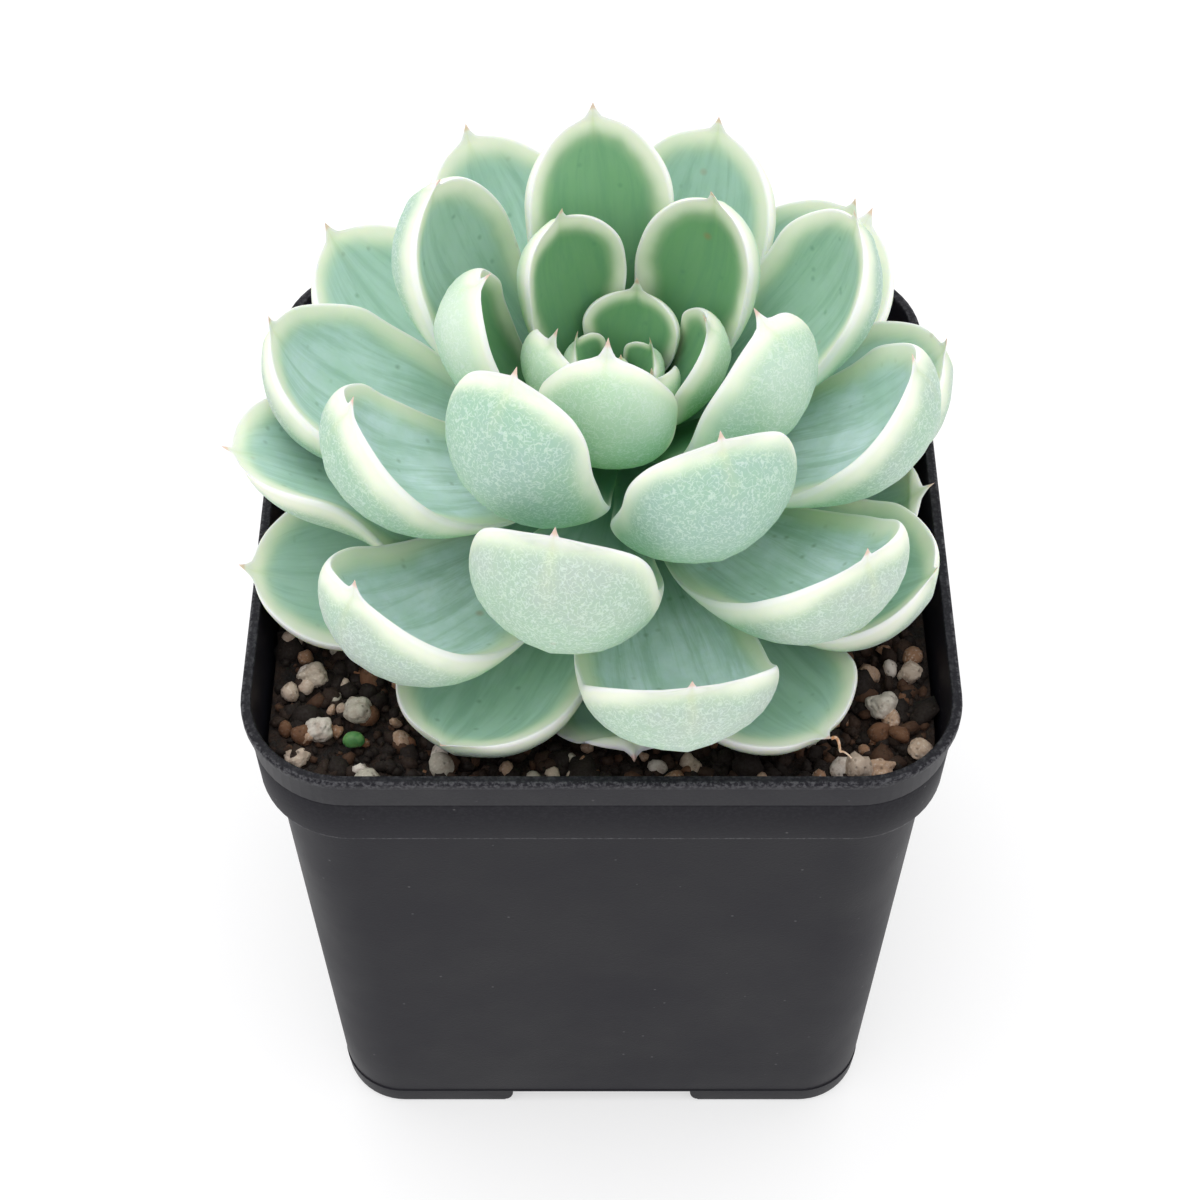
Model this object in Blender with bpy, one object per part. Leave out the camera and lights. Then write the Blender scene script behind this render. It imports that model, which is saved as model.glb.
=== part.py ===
"""Rosette succulent growing in a square nursery pot.

Metres, +Z up.  The pieces are modelled about the centre of the pot's footprint, on the plane the pot
stands on, and at the end all are moved together so that the origin lies under the middle of the box.
Every leaf is one closed solid.  Leaves are numbered from the youngest, in the middle, outwards.
"""
import math

import bmesh
import bpy
import numpy as np
from mathutils.bvhtree import BVHTree

for old in list(bpy.data.objects):
    bpy.data.objects.remove(old, do_unlink=True)

MM = 0.001

# ---------------------------------------------------------------- pot
POT_WIDTH = 90.0 * MM            # across the outside of the rim
POT_HEIGHT = 96.0 * MM           # feet to rim
RIM_CORNER = 13.6 * MM           # outer corner radius of the rim
LIP_HEIGHT = 1.3 * MM            # the narrow lip that stands out at the top of the collar
LIP_OUT = 0.6 * MM               # how far the lip stands out from the collar
COLLAR_HEIGHT = 14.0 * MM        # rim to the collar's lower edge
COLLAR_DRAFT = 0.4 * MM          # the collar narrows by this much on each side
COLLAR_STEP = 1.8 * MM           # the body lies this far inside the collar
BASE_WIDTH = 78.6 * MM           # across the outside of the body, at the feet
BASE_CORNER = 9.2 * MM
WALL = 1.3 * MM
FOOT_HEIGHT = 3.6 * MM
FOOT_WIDTH = 5.0 * MM            # width of the ring that the feet are cut from
NOTCH_LENGTH = 27.0 * MM         # gap between two feet, at the middle of each side
DRAIN_RADIUS = 4.0 * MM
DRAIN_SPREAD = 21.0 * MM         # drain holes' distance from the middle, along X and Y
FLOOR = 1.4 * MM

# ---------------------------------------------------------------- soil and stem
CLEAR = 0.3 * MM                 # gap left between pieces that touch
SOIL_DEPTH = 9.8 * MM            # rim down to the soil
STEM_DEPTH = 12.0 * MM           # rim down to the stem's lower end
SOCKET_DEPTH = 2.0 * MM          # the soil's socket goes this far below the stem
STEM_RADIUS = 4.0 * MM           # below the leaves

# ---------------------------------------------------------------- rosette
ROSETTE_X = 2.4 * MM             # rosette axis, off the pot's middle
ROSETTE_Y = 2.2 * MM
FIRST_LEAF = 5                   # younger ones are closed together in the bud
LAST_LEAF = 46
START_ANGLE = 59.2               # direction of leaf 0, counter-clockwise from +X
TURN = 137.5                     # from each leaf to the next older one
PLANT_SIZE = 1.0                 # all leaf lengths and widths
LEAF_THICK = 1.0                 # all leaf thicknesses
LEAF_GAP = 0.52 * MM             # least gap between one leaf's upper face and the next younger leaf

# How a leaf changes with its number.  Distances are from the rosette axis and above the rim, in mm.
AGE = [5, 8, 10, 12, 15, 18, 21, 25, 30, 36, 43, 50]
REACH = [4, 8.5, 10, 13.5, 19, 27, 32, 38.5, 46, 47, 46, 43]      # axis to tip
RISE = [27, 31, 35.5, 41.5, 44, 43.5, 40, 35, 23, 12.5, 4, -2]    # rim to tip
BOW = [18, 20, 26, 27, 24, 21, 17, 17, 15, 10, 5, 3]              # even bend, each way, in degrees
HOOK = [12, 10, 20, 35, 42, 35, 42, 50, 52, 50, 36, 20]           # extra bend of the outer half
WIDTH = [8, 13.5, 16, 18.5, 20.5, 22, 23.5, 25, 26, 25.5, 24.5, 22]
CUP = [48, 46, 52, 55, 57, 50, 48, 54, 50, 42, 42, 30]            # margins' slope above the keel
THICK = [2.0, 2.8, 3.3, 3.8, 4.4, 4.7, 5.0, 5.3, 5.2, 4.6, 4.0, 2.4]
BASE_UP = [16, 14.7, 13.9, 13, 11.8, 10.5, 9.2, 7.5, 5.5, 3.3, 1.3, 0]
BASE_OUT = [0.9, 1.4, 1.9, 2.3, 2.9, 3.3, 3.7, 4.1, 4.5, 4.7, 4.8, 4.8]

# Where single leaves leave the spiral: turn, out, up, bow, hook, twist (degrees and mm).
OWN_WAY = {
    8: (-3, 0, 0, 0, 0, 0),
    9: (-2, 0, 2.5, 4, 8, 0),
    10: (-1, 0, -1.5, 0, 0, 2),
    11: (-4, 0, 3.2, -6, -10, 0),
    12: (-6, 0, 1, 6, 0, 0),
    13: (-2, 0, 0.7, 0, -18, 8),
    14: (1, -1.5, -2, 6, 0, -3),
    15: (1, 0, 1.5, 0, 10, 0),
    16: (0, 0, 4.2, -8, -24, 0),
    17: (6, 1.5, 4, 10, 6, -7),
    18: (0, 2, 0, 0, 0, 6),
    19: (1, -4, 2.2, 4, 4, 0),
    20: (1, 1, 3, 10, 0, 0),
    21: (-1, -1.5, 0.3, -5, -5, -2),
    22: (4, 2, -2.5, 4, 13, -6),
    23: (-2, 1, 1.5, 0, 9, 4),
    24: (2, 2, -1.8, -5, -10, 3),
    25: (2, 0, 2.5, 9, 8, -3),
    26: (2, -2.5, -1, -4, -8, -5),
    27: (2, 3, -2.5, 0, 0, -4),
    28: (0, 1.5, 2, 0, 6, -2),
    29: (0, -2.5, -2, 0, 0, 0),
    30: (3, 0, 0, 18, 0, -3),
    31: (5, -4.5, 2.5, 3, 0, -3),
    32: (4, 3, 1, 0, -10, 0),
    33: (3, 1, 3, 0, 20, -2),
    34: (-8, 3.5, 1, 0, -10, 0),
    35: (-3, 4, 3, -6, -30, 8),
    36: (0, -1.5, 0, 0, 12, 6),
    38: (-1, 2, -7, 0, 0, 6),
    41: (4, 3.5, -3, 0, 0, 5),
    42: (0, -4.5, 1, 0, 0, 0),
    43: (-12, 5.5, 1.5, 2, 12, -20),
    44: (6, -4.5, 2.5, 0, -8, 4),
    45: (0, -5, 2, -3, -20, 0),
    46: (8, -2, -3, -8, -28, 0),
}

RINGS = 9                        # stations along a leaf
AROUND = 10                      # points round a leaf
POINT_LENGTH = 2.8               # mm, the hard point at a leaf's tip
SETTLE_ROUNDS = 6
SHORTER = 0.5                    # mm at a time, for a leaf that would meet the pot


def smooth(x):
    """Rises from 0 to 1 with a level start and end."""
    x = np.clip(x, 0.0, 1.0)
    return x * x * (3.0 - 2.0 * x)


def leaf_facts(n):
    """A leaf's sizes from its number: the age curves plus its own way of growing."""
    turn, out, up, bow, hook, twist = OWN_WAY.get(n, (0, 0, 0, 0, 0, 0))

    def at(curve):
        return float(np.interp(n, AGE, curve))

    return {
        "angle": math.radians(START_ANGLE + TURN * n + turn),
        "base_out": at(BASE_OUT),
        "base_up": at(BASE_UP),
        "reach": (at(REACH) + out) * PLANT_SIZE,
        "rise": (at(RISE) + up) * PLANT_SIZE,
        "bow": at(BOW) + bow,
        "hook": at(HOOK) + hook,
        "width": at(WIDTH) * PLANT_SIZE,
        "cup": at(CUP),
        "thick": at(THICK) * LEAF_THICK,
        "twist": twist,
    }


def midrib(fact, steps=240):
    """Curve from stem to tip in the leaf's own upright plane.

    Its slope grows evenly by twice the bow, and the hook adds a smooth rise over the outer half.
    The curve is then turned and sized so that it ends at the tip.
    """
    q = np.linspace(0.0, 1.0, steps + 1)
    slope = np.radians(fact["bow"] * (2.0 * q - 1.0) + fact["hook"] * smooth((q - 0.5) / 0.5))
    middle = (slope[1:] + slope[:-1]) / 2.0
    run = np.concatenate([[0.0], np.cumsum(np.cos(middle))]) / steps
    lift = np.concatenate([[0.0], np.cumsum(np.sin(middle))]) / steps
    span_out = fact["reach"] - fact["base_out"]
    span_up = fact["rise"] - fact["base_up"]
    length = math.hypot(span_out, span_up) / math.hypot(run[-1], lift[-1])
    lean = math.atan2(span_up, span_out) - math.atan2(lift[-1], run[-1])
    c, s = math.cos(lean), math.sin(lean)
    out = fact["base_out"] + length * (run * c - lift * s)
    up = fact["base_up"] + length * (run * s + lift * c)
    return q, out, up, slope + lean, length


def leaf_surface(fact, along, around):
    """Points of a leaf's skin, at each share of its length and each angle round it.

    The outline is a narrow base that widens as a sine to 71% of the length, then a rounded end.
    The section is a lens bent round the midrib, flat above and full below.
    Returns the points and the direction of the leaf's back at each station.
    """
    q, out, up, slope, length = midrib(fact)
    out, up, slope = (np.interp(along, q, v) for v in (out, up, slope))
    tip = POINT_LENGTH / length
    share = np.clip(along / (1.0 - tip), 0.0, 1.0)
    end = np.clip((share - 0.71) / 0.29, 0.0, 1.0)
    to_tip = (1.0 - along) / tip
    half = np.where(share < 0.71,
                    0.2 + 0.8 * np.sin(np.pi / 2 * np.clip(share / 0.71, 0.0, 1.0)) ** 1.2,
                    (1.0 - end ** 2.4) ** 0.56) * fact["width"] / 2.0
    half = half + 0.55 * np.exp(-to_tip / 0.7) * np.clip(1.5 * to_tip, 0.0, 1.0)
    deep = fact["thick"] * (0.19 + 0.81 * smooth(share / 0.72)) * (1.0 - end ** 2.6) ** 0.8
    deep = deep + 0.3 * np.clip(to_tip, 0.0, 1.0)
    half, deep = half[:, None], deep[:, None]
    x = half * np.cos(around)
    above = np.abs(np.sin(around))
    z = np.where(np.sin(around) > 0, 0.18 * deep * above ** 1.1, -0.82 * deep * above ** 1.2)
    bend = np.radians(fact["cup"]) / (fact["width"] / 2.0) * smooth(share * 1.3)[:, None] + 1e-6
    side = np.sin(bend * x) / bend - z * np.sin(bend * x)
    height = (1.0 - np.cos(bend * x)) / bend + z * np.cos(bend * x)
    twist = np.radians(fact["twist"]) * smooth(share * 1.2)[:, None]
    side, height = (side * np.cos(twist) - height * np.sin(twist),
                    side * np.sin(twist) + height * np.cos(twist))
    ahead = np.array([math.cos(fact["angle"]), math.sin(fact["angle"]), 0.0])
    across = np.array([-ahead[1], ahead[0], 0.0])
    face = np.stack([-np.sin(slope) * ahead[0], -np.sin(slope) * ahead[1], np.cos(slope)], axis=1)
    points = (out[:, None, None] * ahead + up[:, None, None] * np.array([0.0, 0.0, 1.0])
              + side[..., None] * across + height[..., None] * face[:, None, :])
    return points, face


def tube_faces(rings, around):
    """Faces of a skin made of rings of points, closed by a fan at each end."""
    faces = []
    for i in range(rings - 1):
        for j in range(around):
            k = (j + 1) % around
            a, b = i * around + j, i * around + k
            c, d = (i + 1) * around + k, (i + 1) * around + j
            faces.append((a, b, c))
            faces.append((a, c, d))
    first, last = rings * around, rings * around + 1
    for j in range(around):
        k = (j + 1) % around
        faces.append((first, k, j))
        faces.append((last, (rings - 1) * around + j, (rings - 1) * around + k))
    return faces


STATIONS = np.array([0.0, 0.16, 0.33, 0.49, 0.63, 0.75, 0.85, 0.93, 0.975])[:RINGS]
ANGLES = np.arange(AROUND) / AROUND * 2.0 * np.pi
HALF_ROUND = AROUND // 2
NEAR = [(i, j) for i in (0, 0.5, -0.5) for j in (0, 0.5, -0.5)]
COLUMN = np.minimum(np.arange(AROUND), AROUND - np.arange(AROUND))


def leaf_skin(fact, sink):
    """A leaf's vertices, in mm: its rings, the middle of its base and its tip.

    sink is how far each column of each station is pressed back along the leaf's own back.
    """
    rings, face = leaf_surface(fact, STATIONS, ANGLES)
    rings = rings - sink[:, COLUMN, None] * face[:, None, :]
    tip, tip_face = leaf_surface(fact, np.array([1.0]), ANGLES)
    tip = tip[0].mean(axis=0) - sink[-1].mean() * tip_face[0]
    base = rings[0].mean(axis=0)
    return np.concatenate([rings.reshape(-1, 3), base[None], tip[None]]), rings, face


def settle(fact, tree):
    """Presses one leaf clear of the younger ones that lie on it, and returns its vertices.

    From under each column of the leaf a line goes up through it.  Where the line meets a younger
    leaf too soon, that column sinks, and its neighbours sink with it less and less.  A leaf that
    reaches the soil lies flat on it.
    """
    gap = LEAF_GAP / MM * PLANT_SIZE
    under = 5.0
    sink = np.zeros((RINGS, HALF_ROUND + 1))
    for _ in range(SETTLE_ROUNDS if tree else 0):
        skin, rings, face = leaf_skin(fact, sink)
        top = rings[:, :HALF_ROUND + 1]
        low = rings[:, (-np.arange(HALF_ROUND + 1)) % AROUND]
        need = np.zeros_like(sink)
        for i in range(RINGS):
            for j in range(HALF_ROUND + 1):
                for di, dj in NEAR:
                    a = min(max(i + di, 0), RINGS - 1)
                    b = min(max(j + dj, 0), HALF_ROUND)
                    i0, j0 = int(a), int(b)
                    i1, j1 = math.ceil(a), math.ceil(b)
                    t = (top[i0, j0] + top[i1, j0] + top[i0, j1] + top[i1, j1]) / 4.0
                    u = (low[i0, j0] + low[i1, j0] + low[i0, j1] + low[i1, j1]) / 4.0
                    start = u - under * face[i]
                    reach = float(np.dot(t - start, face[i])) + gap
                    hit = tree.ray_cast(tuple(start), tuple(face[i]), reach)
                    if hit[0] is not None:
                        need[i, j] = max(need[i, j], reach - hit[3])
        if need.max() < 0.02:
            break
        spread = need.copy()
        for _ in range(2):
            wide = np.pad(spread, 1, mode="edge")
            blur = (wide[1:-1, 1:-1] * 2 + wide[:-2, 1:-1] + wide[2:, 1:-1]
                    + wide[1:-1, :-2] + wide[1:-1, 2:]) / 6.0
            spread = np.maximum(need, blur)
        sink = sink + spread
    skin = leaf_skin(fact, sink)[0]
    skin[:, 2] = np.maximum(skin[:, 2], (CLEAR - SOIL_DEPTH) / MM)
    return skin


def meets_pot(skin, faces):
    """Whether a leaf comes nearer than the usual gap to the pot's rim or the inside of its collar."""
    corners = skin[np.array(faces)]
    spots = np.concatenate([skin, (corners + np.roll(corners, 1, axis=1)).reshape(-1, 3) / 2.0,
                            corners.mean(axis=1)]) * MM + np.array([ROSETTE_X, ROSETTE_Y, 0.0])
    half = POT_WIDTH / 2 - WALL + (LIP_OUT + COLLAR_DRAFT) * np.minimum(spots[:, 2], 0.0) / COLLAR_HEIGHT
    corner = RIM_CORNER - WALL
    beyond = np.maximum(np.abs(spots[:, :2]) - (half - corner)[:, None], 0.0)
    return bool(((np.hypot(*beyond.T) > corner - CLEAR) & (spots[:, 2] < CLEAR)).any())


def settle_leaves():
    """Settles the leaves from the youngest out.  One that would meet the pot is made shorter."""
    faces = tube_faces(RINGS, AROUND)
    points, polygons, skins = [], [], {}
    for n in range(FIRST_LEAF, LAST_LEAF + 1):
        fact = leaf_facts(n)
        tree = BVHTree.FromPolygons([tuple(p) for p in points], polygons) if points else None
        skins[n] = settle(fact, tree)
        while meets_pot(skins[n], faces):
            fact["reach"] -= SHORTER
            skins[n] = settle(fact, tree)
        polygons.extend(tuple(v + len(points) for v in f) for f in faces)
        points.extend(skins[n])
    return skins, faces


# ---------------------------------------------------------------- meshes and materials
def material(name, colour, rough):
    mat = bpy.data.materials.new(name)
    mat.use_nodes = True
    shader = mat.node_tree.nodes["Principled BSDF"]
    shader.inputs["Base Color"].default_value = (*colour, 1.0)
    shader.inputs["Roughness"].default_value = rough
    shader.inputs["Metallic"].default_value = 0.0
    return mat


def add_object(name, points, faces, mat, sharp=40.0):
    """One closed piece from its points, in metres, and its faces."""
    mesh = bpy.data.meshes.new(name)
    mesh.from_pydata([tuple(map(float, p)) for p in points], [], [tuple(f) for f in faces])
    mesh.update()
    mesh.shade_smooth()
    mesh.set_sharp_from_angle(angle=math.radians(sharp))
    mesh.materials.append(mat)
    obj = bpy.data.objects.new(name, mesh)
    bpy.context.scene.collection.objects.link(obj)
    return obj


LEAF_YOUNG = material("leaf green", (0.16, 0.36, 0.15), 0.55)
LEAF_OLD = material("leaf blue green", (0.38, 0.55, 0.47), 0.6)
STEM_FINISH = material("stem", (0.27, 0.3, 0.14), 0.7)
SOIL_FINISH = material("dark peat", (0.035, 0.02, 0.013), 0.95)
STONE_FINISH = material("pumice", (0.48, 0.4, 0.33), 0.9)
POT_FINISH = material("charcoal plastic", (0.035, 0.035, 0.042), 0.5)


# ---------------------------------------------------------------- pot
def rounded_square(half, corner, height, per_corner=6):
    """Points of a square with round corners, counter-clockwise from above."""
    ring = []
    for k in range(4):
        cx = (half - corner) * (1 if k in (0, 3) else -1)
        cy = (half - corner) * (1 if k in (0, 1) else -1)
        for i in range(per_corner + 1):
            a = math.pi / 2 * (k + i / per_corner)
            ring.append((cx + corner * math.cos(a), cy + corner * math.sin(a), height))
    return ring


def loft(rings):
    """Walls between rings of equal count, the first and the last ring filled."""
    count = len(rings[0])
    points = [p for ring in rings for p in ring]
    faces = []
    for r in range(len(rings) - 1):
        for i in range(count):
            j = (i + 1) % count
            a, b = r * count, (r + 1) * count
            faces.append((a + i, b + i, b + j, a + j))
    last = (len(rings) - 1) * count
    faces.append(tuple(range(count)))
    faces.append(tuple(last + i for i in reversed(range(count))))
    return points, faces


HALF = POT_WIDTH / 2
COLLAR_HALF = HALF - LIP_OUT
BODY_TOP_HALF = COLLAR_HALF - COLLAR_DRAFT - COLLAR_STEP
BASE_HALF = BASE_WIDTH / 2
STEP_HEIGHT = POT_HEIGHT - COLLAR_HEIGHT


def body_half(height):
    """Half width of the tapered body at a height."""
    return BASE_HALF + (BODY_TOP_HALF - BASE_HALF) * height / STEP_HEIGHT


def body_corner(height):
    return BASE_CORNER + (RIM_CORNER - 2.4 * MM - BASE_CORNER) * height / STEP_HEIGHT


def cutter(name, points, faces):
    obj = add_object(name, points, faces, POT_FINISH)
    obj.hide_render = True
    obj.display_type = "WIRE"
    return obj


def subtract(obj, tool):
    cut = obj.modifiers.new("cut " + tool.name, "BOOLEAN")
    cut.operation = "DIFFERENCE"
    cut.solver = "EXACT"
    cut.object = tool


def build_pot():
    """Outside from the filled underside up to the lip, over it, and down the inside to the floor."""
    top = POT_HEIGHT
    edge = 0.8 * MM
    outer = [
        (0.0, BASE_HALF - edge, BASE_CORNER - edge),
        (0.3 * edge, BASE_HALF - 0.3 * edge, BASE_CORNER),
        (edge, body_half(edge), BASE_CORNER),
        (STEP_HEIGHT - 0.4 * MM, BODY_TOP_HALF, body_corner(STEP_HEIGHT)),
        (STEP_HEIGHT, COLLAR_HALF - COLLAR_DRAFT - 0.15 * MM, RIM_CORNER - 1.2 * MM),
        (STEP_HEIGHT + 0.5 * MM, COLLAR_HALF - COLLAR_DRAFT, RIM_CORNER - MM),
        (top - LIP_HEIGHT - 0.3 * MM, COLLAR_HALF, RIM_CORNER - LIP_OUT),
        (top - LIP_HEIGHT, HALF - 0.1 * MM, RIM_CORNER),
        (top - 0.35 * MM, HALF, RIM_CORNER),
        (top, HALF - 0.35 * MM, RIM_CORNER - 0.35 * MM),
    ]
    inner = [
        (top, HALF - WALL, RIM_CORNER - WALL),
        (top - 0.3 * MM, HALF - WALL - 0.1 * MM, RIM_CORNER - WALL),
        (STEP_HEIGHT + 0.2 * MM, COLLAR_HALF - COLLAR_DRAFT - WALL, RIM_CORNER - WALL - MM),
        (STEP_HEIGHT - 1.6 * MM, BODY_TOP_HALF - WALL, body_corner(STEP_HEIGHT) - WALL),
        (FOOT_HEIGHT + FLOOR, body_half(FOOT_HEIGHT + FLOOR) - WALL, BASE_CORNER - WALL),
    ]
    rings = [rounded_square(h, c, z) for z, h, c in outer + inner]
    points, faces = loft(rings)
    pot = add_object("pot", points, [tuple(reversed(f)) for f in faces], POT_FINISH)

    inside = BASE_HALF - FOOT_WIDTH
    well = loft([rounded_square(inside, BASE_CORNER - FOOT_WIDTH + 1.5 * MM, -2 * MM, 3),
                 rounded_square(inside - 0.3 * MM, BASE_CORNER - FOOT_WIDTH + MM, FOOT_HEIGHT, 3)])
    subtract(pot, cutter("cut_well", well[0], [tuple(reversed(f)) for f in well[1]]))

    half, bevel = NOTCH_LENGTH / 2, 1.2 * MM
    section = [(-half - bevel, -2 * MM), (half + bevel, -2 * MM), (half, FOOT_HEIGHT),
               (-half, FOOT_HEIGHT)]
    for name, swap in (("cut_notches_y", False), ("cut_notches_x", True)):
        points = []
        for end in (-1, 1):
            for a, z in section:
                points.append((a, end * POT_WIDTH, z))
        faces = [(0, 1, 2, 3), (7, 6, 5, 4)]
        faces += [(i, i + 4, (i + 1) % 4 + 4, (i + 1) % 4) for i in range(4)]
        if swap:
            points = [(-y, x, z) for x, y, z in points]
        subtract(pot, cutter(name, points, faces))

    for k, (x, y) in enumerate(((-1, -1), (1, -1), (1, 1), (-1, 1), (0, 0))):
        ring = [(x * DRAIN_SPREAD + DRAIN_RADIUS * math.cos(a),
                 y * DRAIN_SPREAD + DRAIN_RADIUS * math.sin(a))
                for a in np.arange(16) / 16 * 2 * math.pi]
        points, faces = loft([[(px, py, z) for px, py in ring] for z in (0.0, 3 * FOOT_HEIGHT)])
        subtract(pot, cutter("cut_drain_%d" % k, points, [tuple(reversed(f)) for f in faces]))
    return pot


# ---------------------------------------------------------------- soil and stem
SOIL_TOP = POT_HEIGHT - SOIL_DEPTH
STEM_LOW = POT_HEIGHT - STEM_DEPTH
SOCKET_LOW = STEM_LOW - SOCKET_DEPTH


def build_soil():
    """Fills the pot up to the soil line, with a socket for the stem in its top."""
    def fill(height, inset=CLEAR):
        if height > STEP_HEIGHT:
            return COLLAR_HALF - COLLAR_DRAFT - WALL - inset, RIM_CORNER - WALL - MM - inset
        return body_half(height) - WALL - inset, body_corner(height) - WALL - inset

    levels = [FOOT_HEIGHT + FLOOR + CLEAR, STEP_HEIGHT - 1.9 * MM]
    rings = []
    for z in levels:
        half, corner = fill(z)
        rings.append(rounded_square(half, corner, z))
    half, corner = fill(STEP_HEIGHT + MM)
    rings.append(rounded_square(half - 0.1 * MM, corner, STEP_HEIGHT - 0.1 * MM))
    rings.append(rounded_square(half, corner, SOIL_TOP))
    count = len(rings[0])
    for share in (0.72, 0.45):
        ring = []
        for x, y, _ in rounded_square(half, corner, SOIL_TOP):
            angle = math.atan2(y, x)
            wave = 0.2 * MM * math.sin(5 * angle + 9 * share) - 0.2 * MM
            ring.append((x * share + ROSETTE_X * (1 - share), y * share + ROSETTE_Y * (1 - share),
                         SOIL_TOP + wave))
        rings.append(ring)
    for z in (SOIL_TOP - 0.2 * MM, SOCKET_LOW):
        ring = []
        for x, y, _ in rounded_square(half, half - MM, z):
            angle = math.atan2(y, x)
            radius = STEM_RADIUS + 2 * CLEAR
            ring.append((ROSETTE_X + radius * math.cos(angle), ROSETTE_Y + radius * math.sin(angle), z))
        rings.append(ring)
    points, faces = loft(rings)
    return add_object("soil", points, [tuple(reversed(f)) for f in faces], SOIL_FINISH)


def build_stem():
    """Tapers from the soil to the bud, always inside the leaves' bases."""
    rings = []
    levels = [(STEM_LOW, 0.8), (STEM_LOW + MM, 1.0), (SOIL_TOP + 2 * MM, 1.0)]
    table = [(z, STEM_RADIUS * k) for z, k in levels]
    for n in range(LAST_LEAF, FIRST_LEAF - 1, -4):
        fact = leaf_facts(n)
        radius = min(STEM_RADIUS, (fact["base_out"] - 0.75) * MM)
        height = POT_HEIGHT + (fact["base_up"] + 0.6) * MM
        if height > table[-1][0] + MM:
            table.append((height, radius))
    for z, r in table:
        rings.append([(ROSETTE_X + r * math.cos(a), ROSETTE_Y + r * math.sin(a), z)
                      for a in np.arange(14) / 14 * 2 * math.pi])
    points, faces = loft(rings)
    return add_object("stem", points, [tuple(reversed(f)) for f in faces], STEM_FINISH)


# ---------------------------------------------------------------- stones and the small bud
# Places are measured from the inside of the pot's collar: side (-1 left, 1 right), millimetres in
# from that side's wall, millimetres in from the front wall.
STONES = {                        # place, size in mm, and seed
    "stone_a": (-1, 5.3, 19.2, 4.2, 1),
    "stone_b": (-1, 11.7, 14.1, 4.2, 2),
    "stone_c": (-1, 6.7, 11.1, 3.6, 3),
    "stone_d": (-1, 4.3, 6.7, 3.4, 4),
    "stone_e": (1, 6.7, 14.5, 4.4, 5),
    "stone_f": (1, 2.5, 8.1, 3.4, 6),
    "stone_g": (1, 2.7, 20.1, 3.2, 7),
    "stone_h": (1, 7.5, 5.3, 3.4, 8),
}
OFFSET_BUD = (-1, 11.3, 9.5, 1.5)     # place, and radius in mm
INSIDE_HALF = COLLAR_HALF - COLLAR_DRAFT - WALL


def from_walls(side, in_x, in_y):
    """A place on the soil from the pot's middle, given from a side wall and the front wall."""
    return side * (INSIDE_HALF - in_x * MM), in_y * MM - INSIDE_HALF


def lump(name, centre, radii, seed, mat, rough=0.12, split=2):
    """An icosphere stretched to three radii and roughened by a few smooth waves."""
    mesh = bmesh.new()
    bmesh.ops.create_icosphere(mesh, subdivisions=split, radius=1.0)
    rng = np.random.RandomState(seed)
    waves = rng.uniform(-2.2, 2.2, (5, 3))
    shifts = rng.uniform(0.0, 6.28, 5)
    points = np.array([v.co[:] for v in mesh.verts])
    faces = [tuple(v.index for v in f.verts) for f in mesh.faces]
    mesh.free()
    swell = 1.0 + rough * np.sin(points @ waves.T + shifts).mean(axis=1) * 2.0
    points = points * swell[:, None] * np.array(radii) + np.array(centre)
    return add_object(name, points, faces, mat, 60.0)


def build_stones():
    for name, (side, in_x, in_y, size, seed) in STONES.items():
        x, y = from_walls(side, in_x, in_y)
        r = size / 2 * MM
        lump(name, (x, y, SOIL_TOP + CLEAR + r), (r * 1.05, r * 0.95, r * 0.85), seed, STONE_FINISH)
    side, in_x, in_y, radius = OFFSET_BUD
    x, y = from_walls(side, in_x, in_y)
    r = radius * MM
    lump("offset_bud", (x, y, SOIL_TOP + CLEAR + 1.2 * r), (r, 0.75 * r, 0.85 * r), 11, LEAF_YOUNG, 0.04)


# ---------------------------------------------------------------- leaves
def build_leaves():
    skins, faces = settle_leaves()
    place = np.array([ROSETTE_X, ROSETTE_Y, POT_HEIGHT])
    for n, skin in skins.items():
        add_object("leaf_%02d" % n, skin * MM + place, faces, LEAF_YOUNG if n < 17 else LEAF_OLD, 80.0)


def build_bud():
    """The youngest leaves, closed into one pointed bud of three swirled ridges."""
    low = leaf_facts(FIRST_LEAF)["base_up"] + 1.6
    high = leaf_facts(FIRST_LEAF)["rise"] - 1.2
    rings = []
    for t in (0.0, 0.12, 0.3, 0.5, 0.7, 0.86, 0.95, 1.0):
        radius = 0.5 + 1.35 * math.sin(math.pi * min(t * 1.15, 1.0)) ** 0.8 * (1 - 0.3 * t)
        if t == 1.0:
            radius = 0.12
        ring = []
        for a in np.arange(12) / 12 * 2 * math.pi:
            r = radius * (1.0 + 0.12 * math.cos(3 * (a - 1.2 * t)))
            ring.append((ROSETTE_X + r * MM * math.cos(a), ROSETTE_Y + r * MM * math.sin(a),
                         POT_HEIGHT + (low + (high - low) * t) * MM))
        rings.append(ring)
    points, faces = loft(rings)
    return add_object("bud", points, [tuple(reversed(f)) for f in faces], LEAF_YOUNG)


def centre_all():
    """Brings the origin under the middle of the whole object's box."""
    solids = [o for o in bpy.context.scene.objects if not o.hide_render]
    corners = np.array([v.co[:2] for o in solids for v in o.data.vertices])
    middle = (corners.min(axis=0) + corners.max(axis=0)) / 2.0
    for obj in bpy.context.scene.objects:
        obj.location = (-middle[0], -middle[1], 0.0)


build_pot()
build_soil()
build_stem()
build_stones()
build_leaves()
build_bud()
centre_all()
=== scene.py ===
"""Finished look of a rosette succulent growing in a square nursery pot.

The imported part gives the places.  Metres, +Z up.  Leaves are numbered from the youngest outwards.
"""
import math

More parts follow.
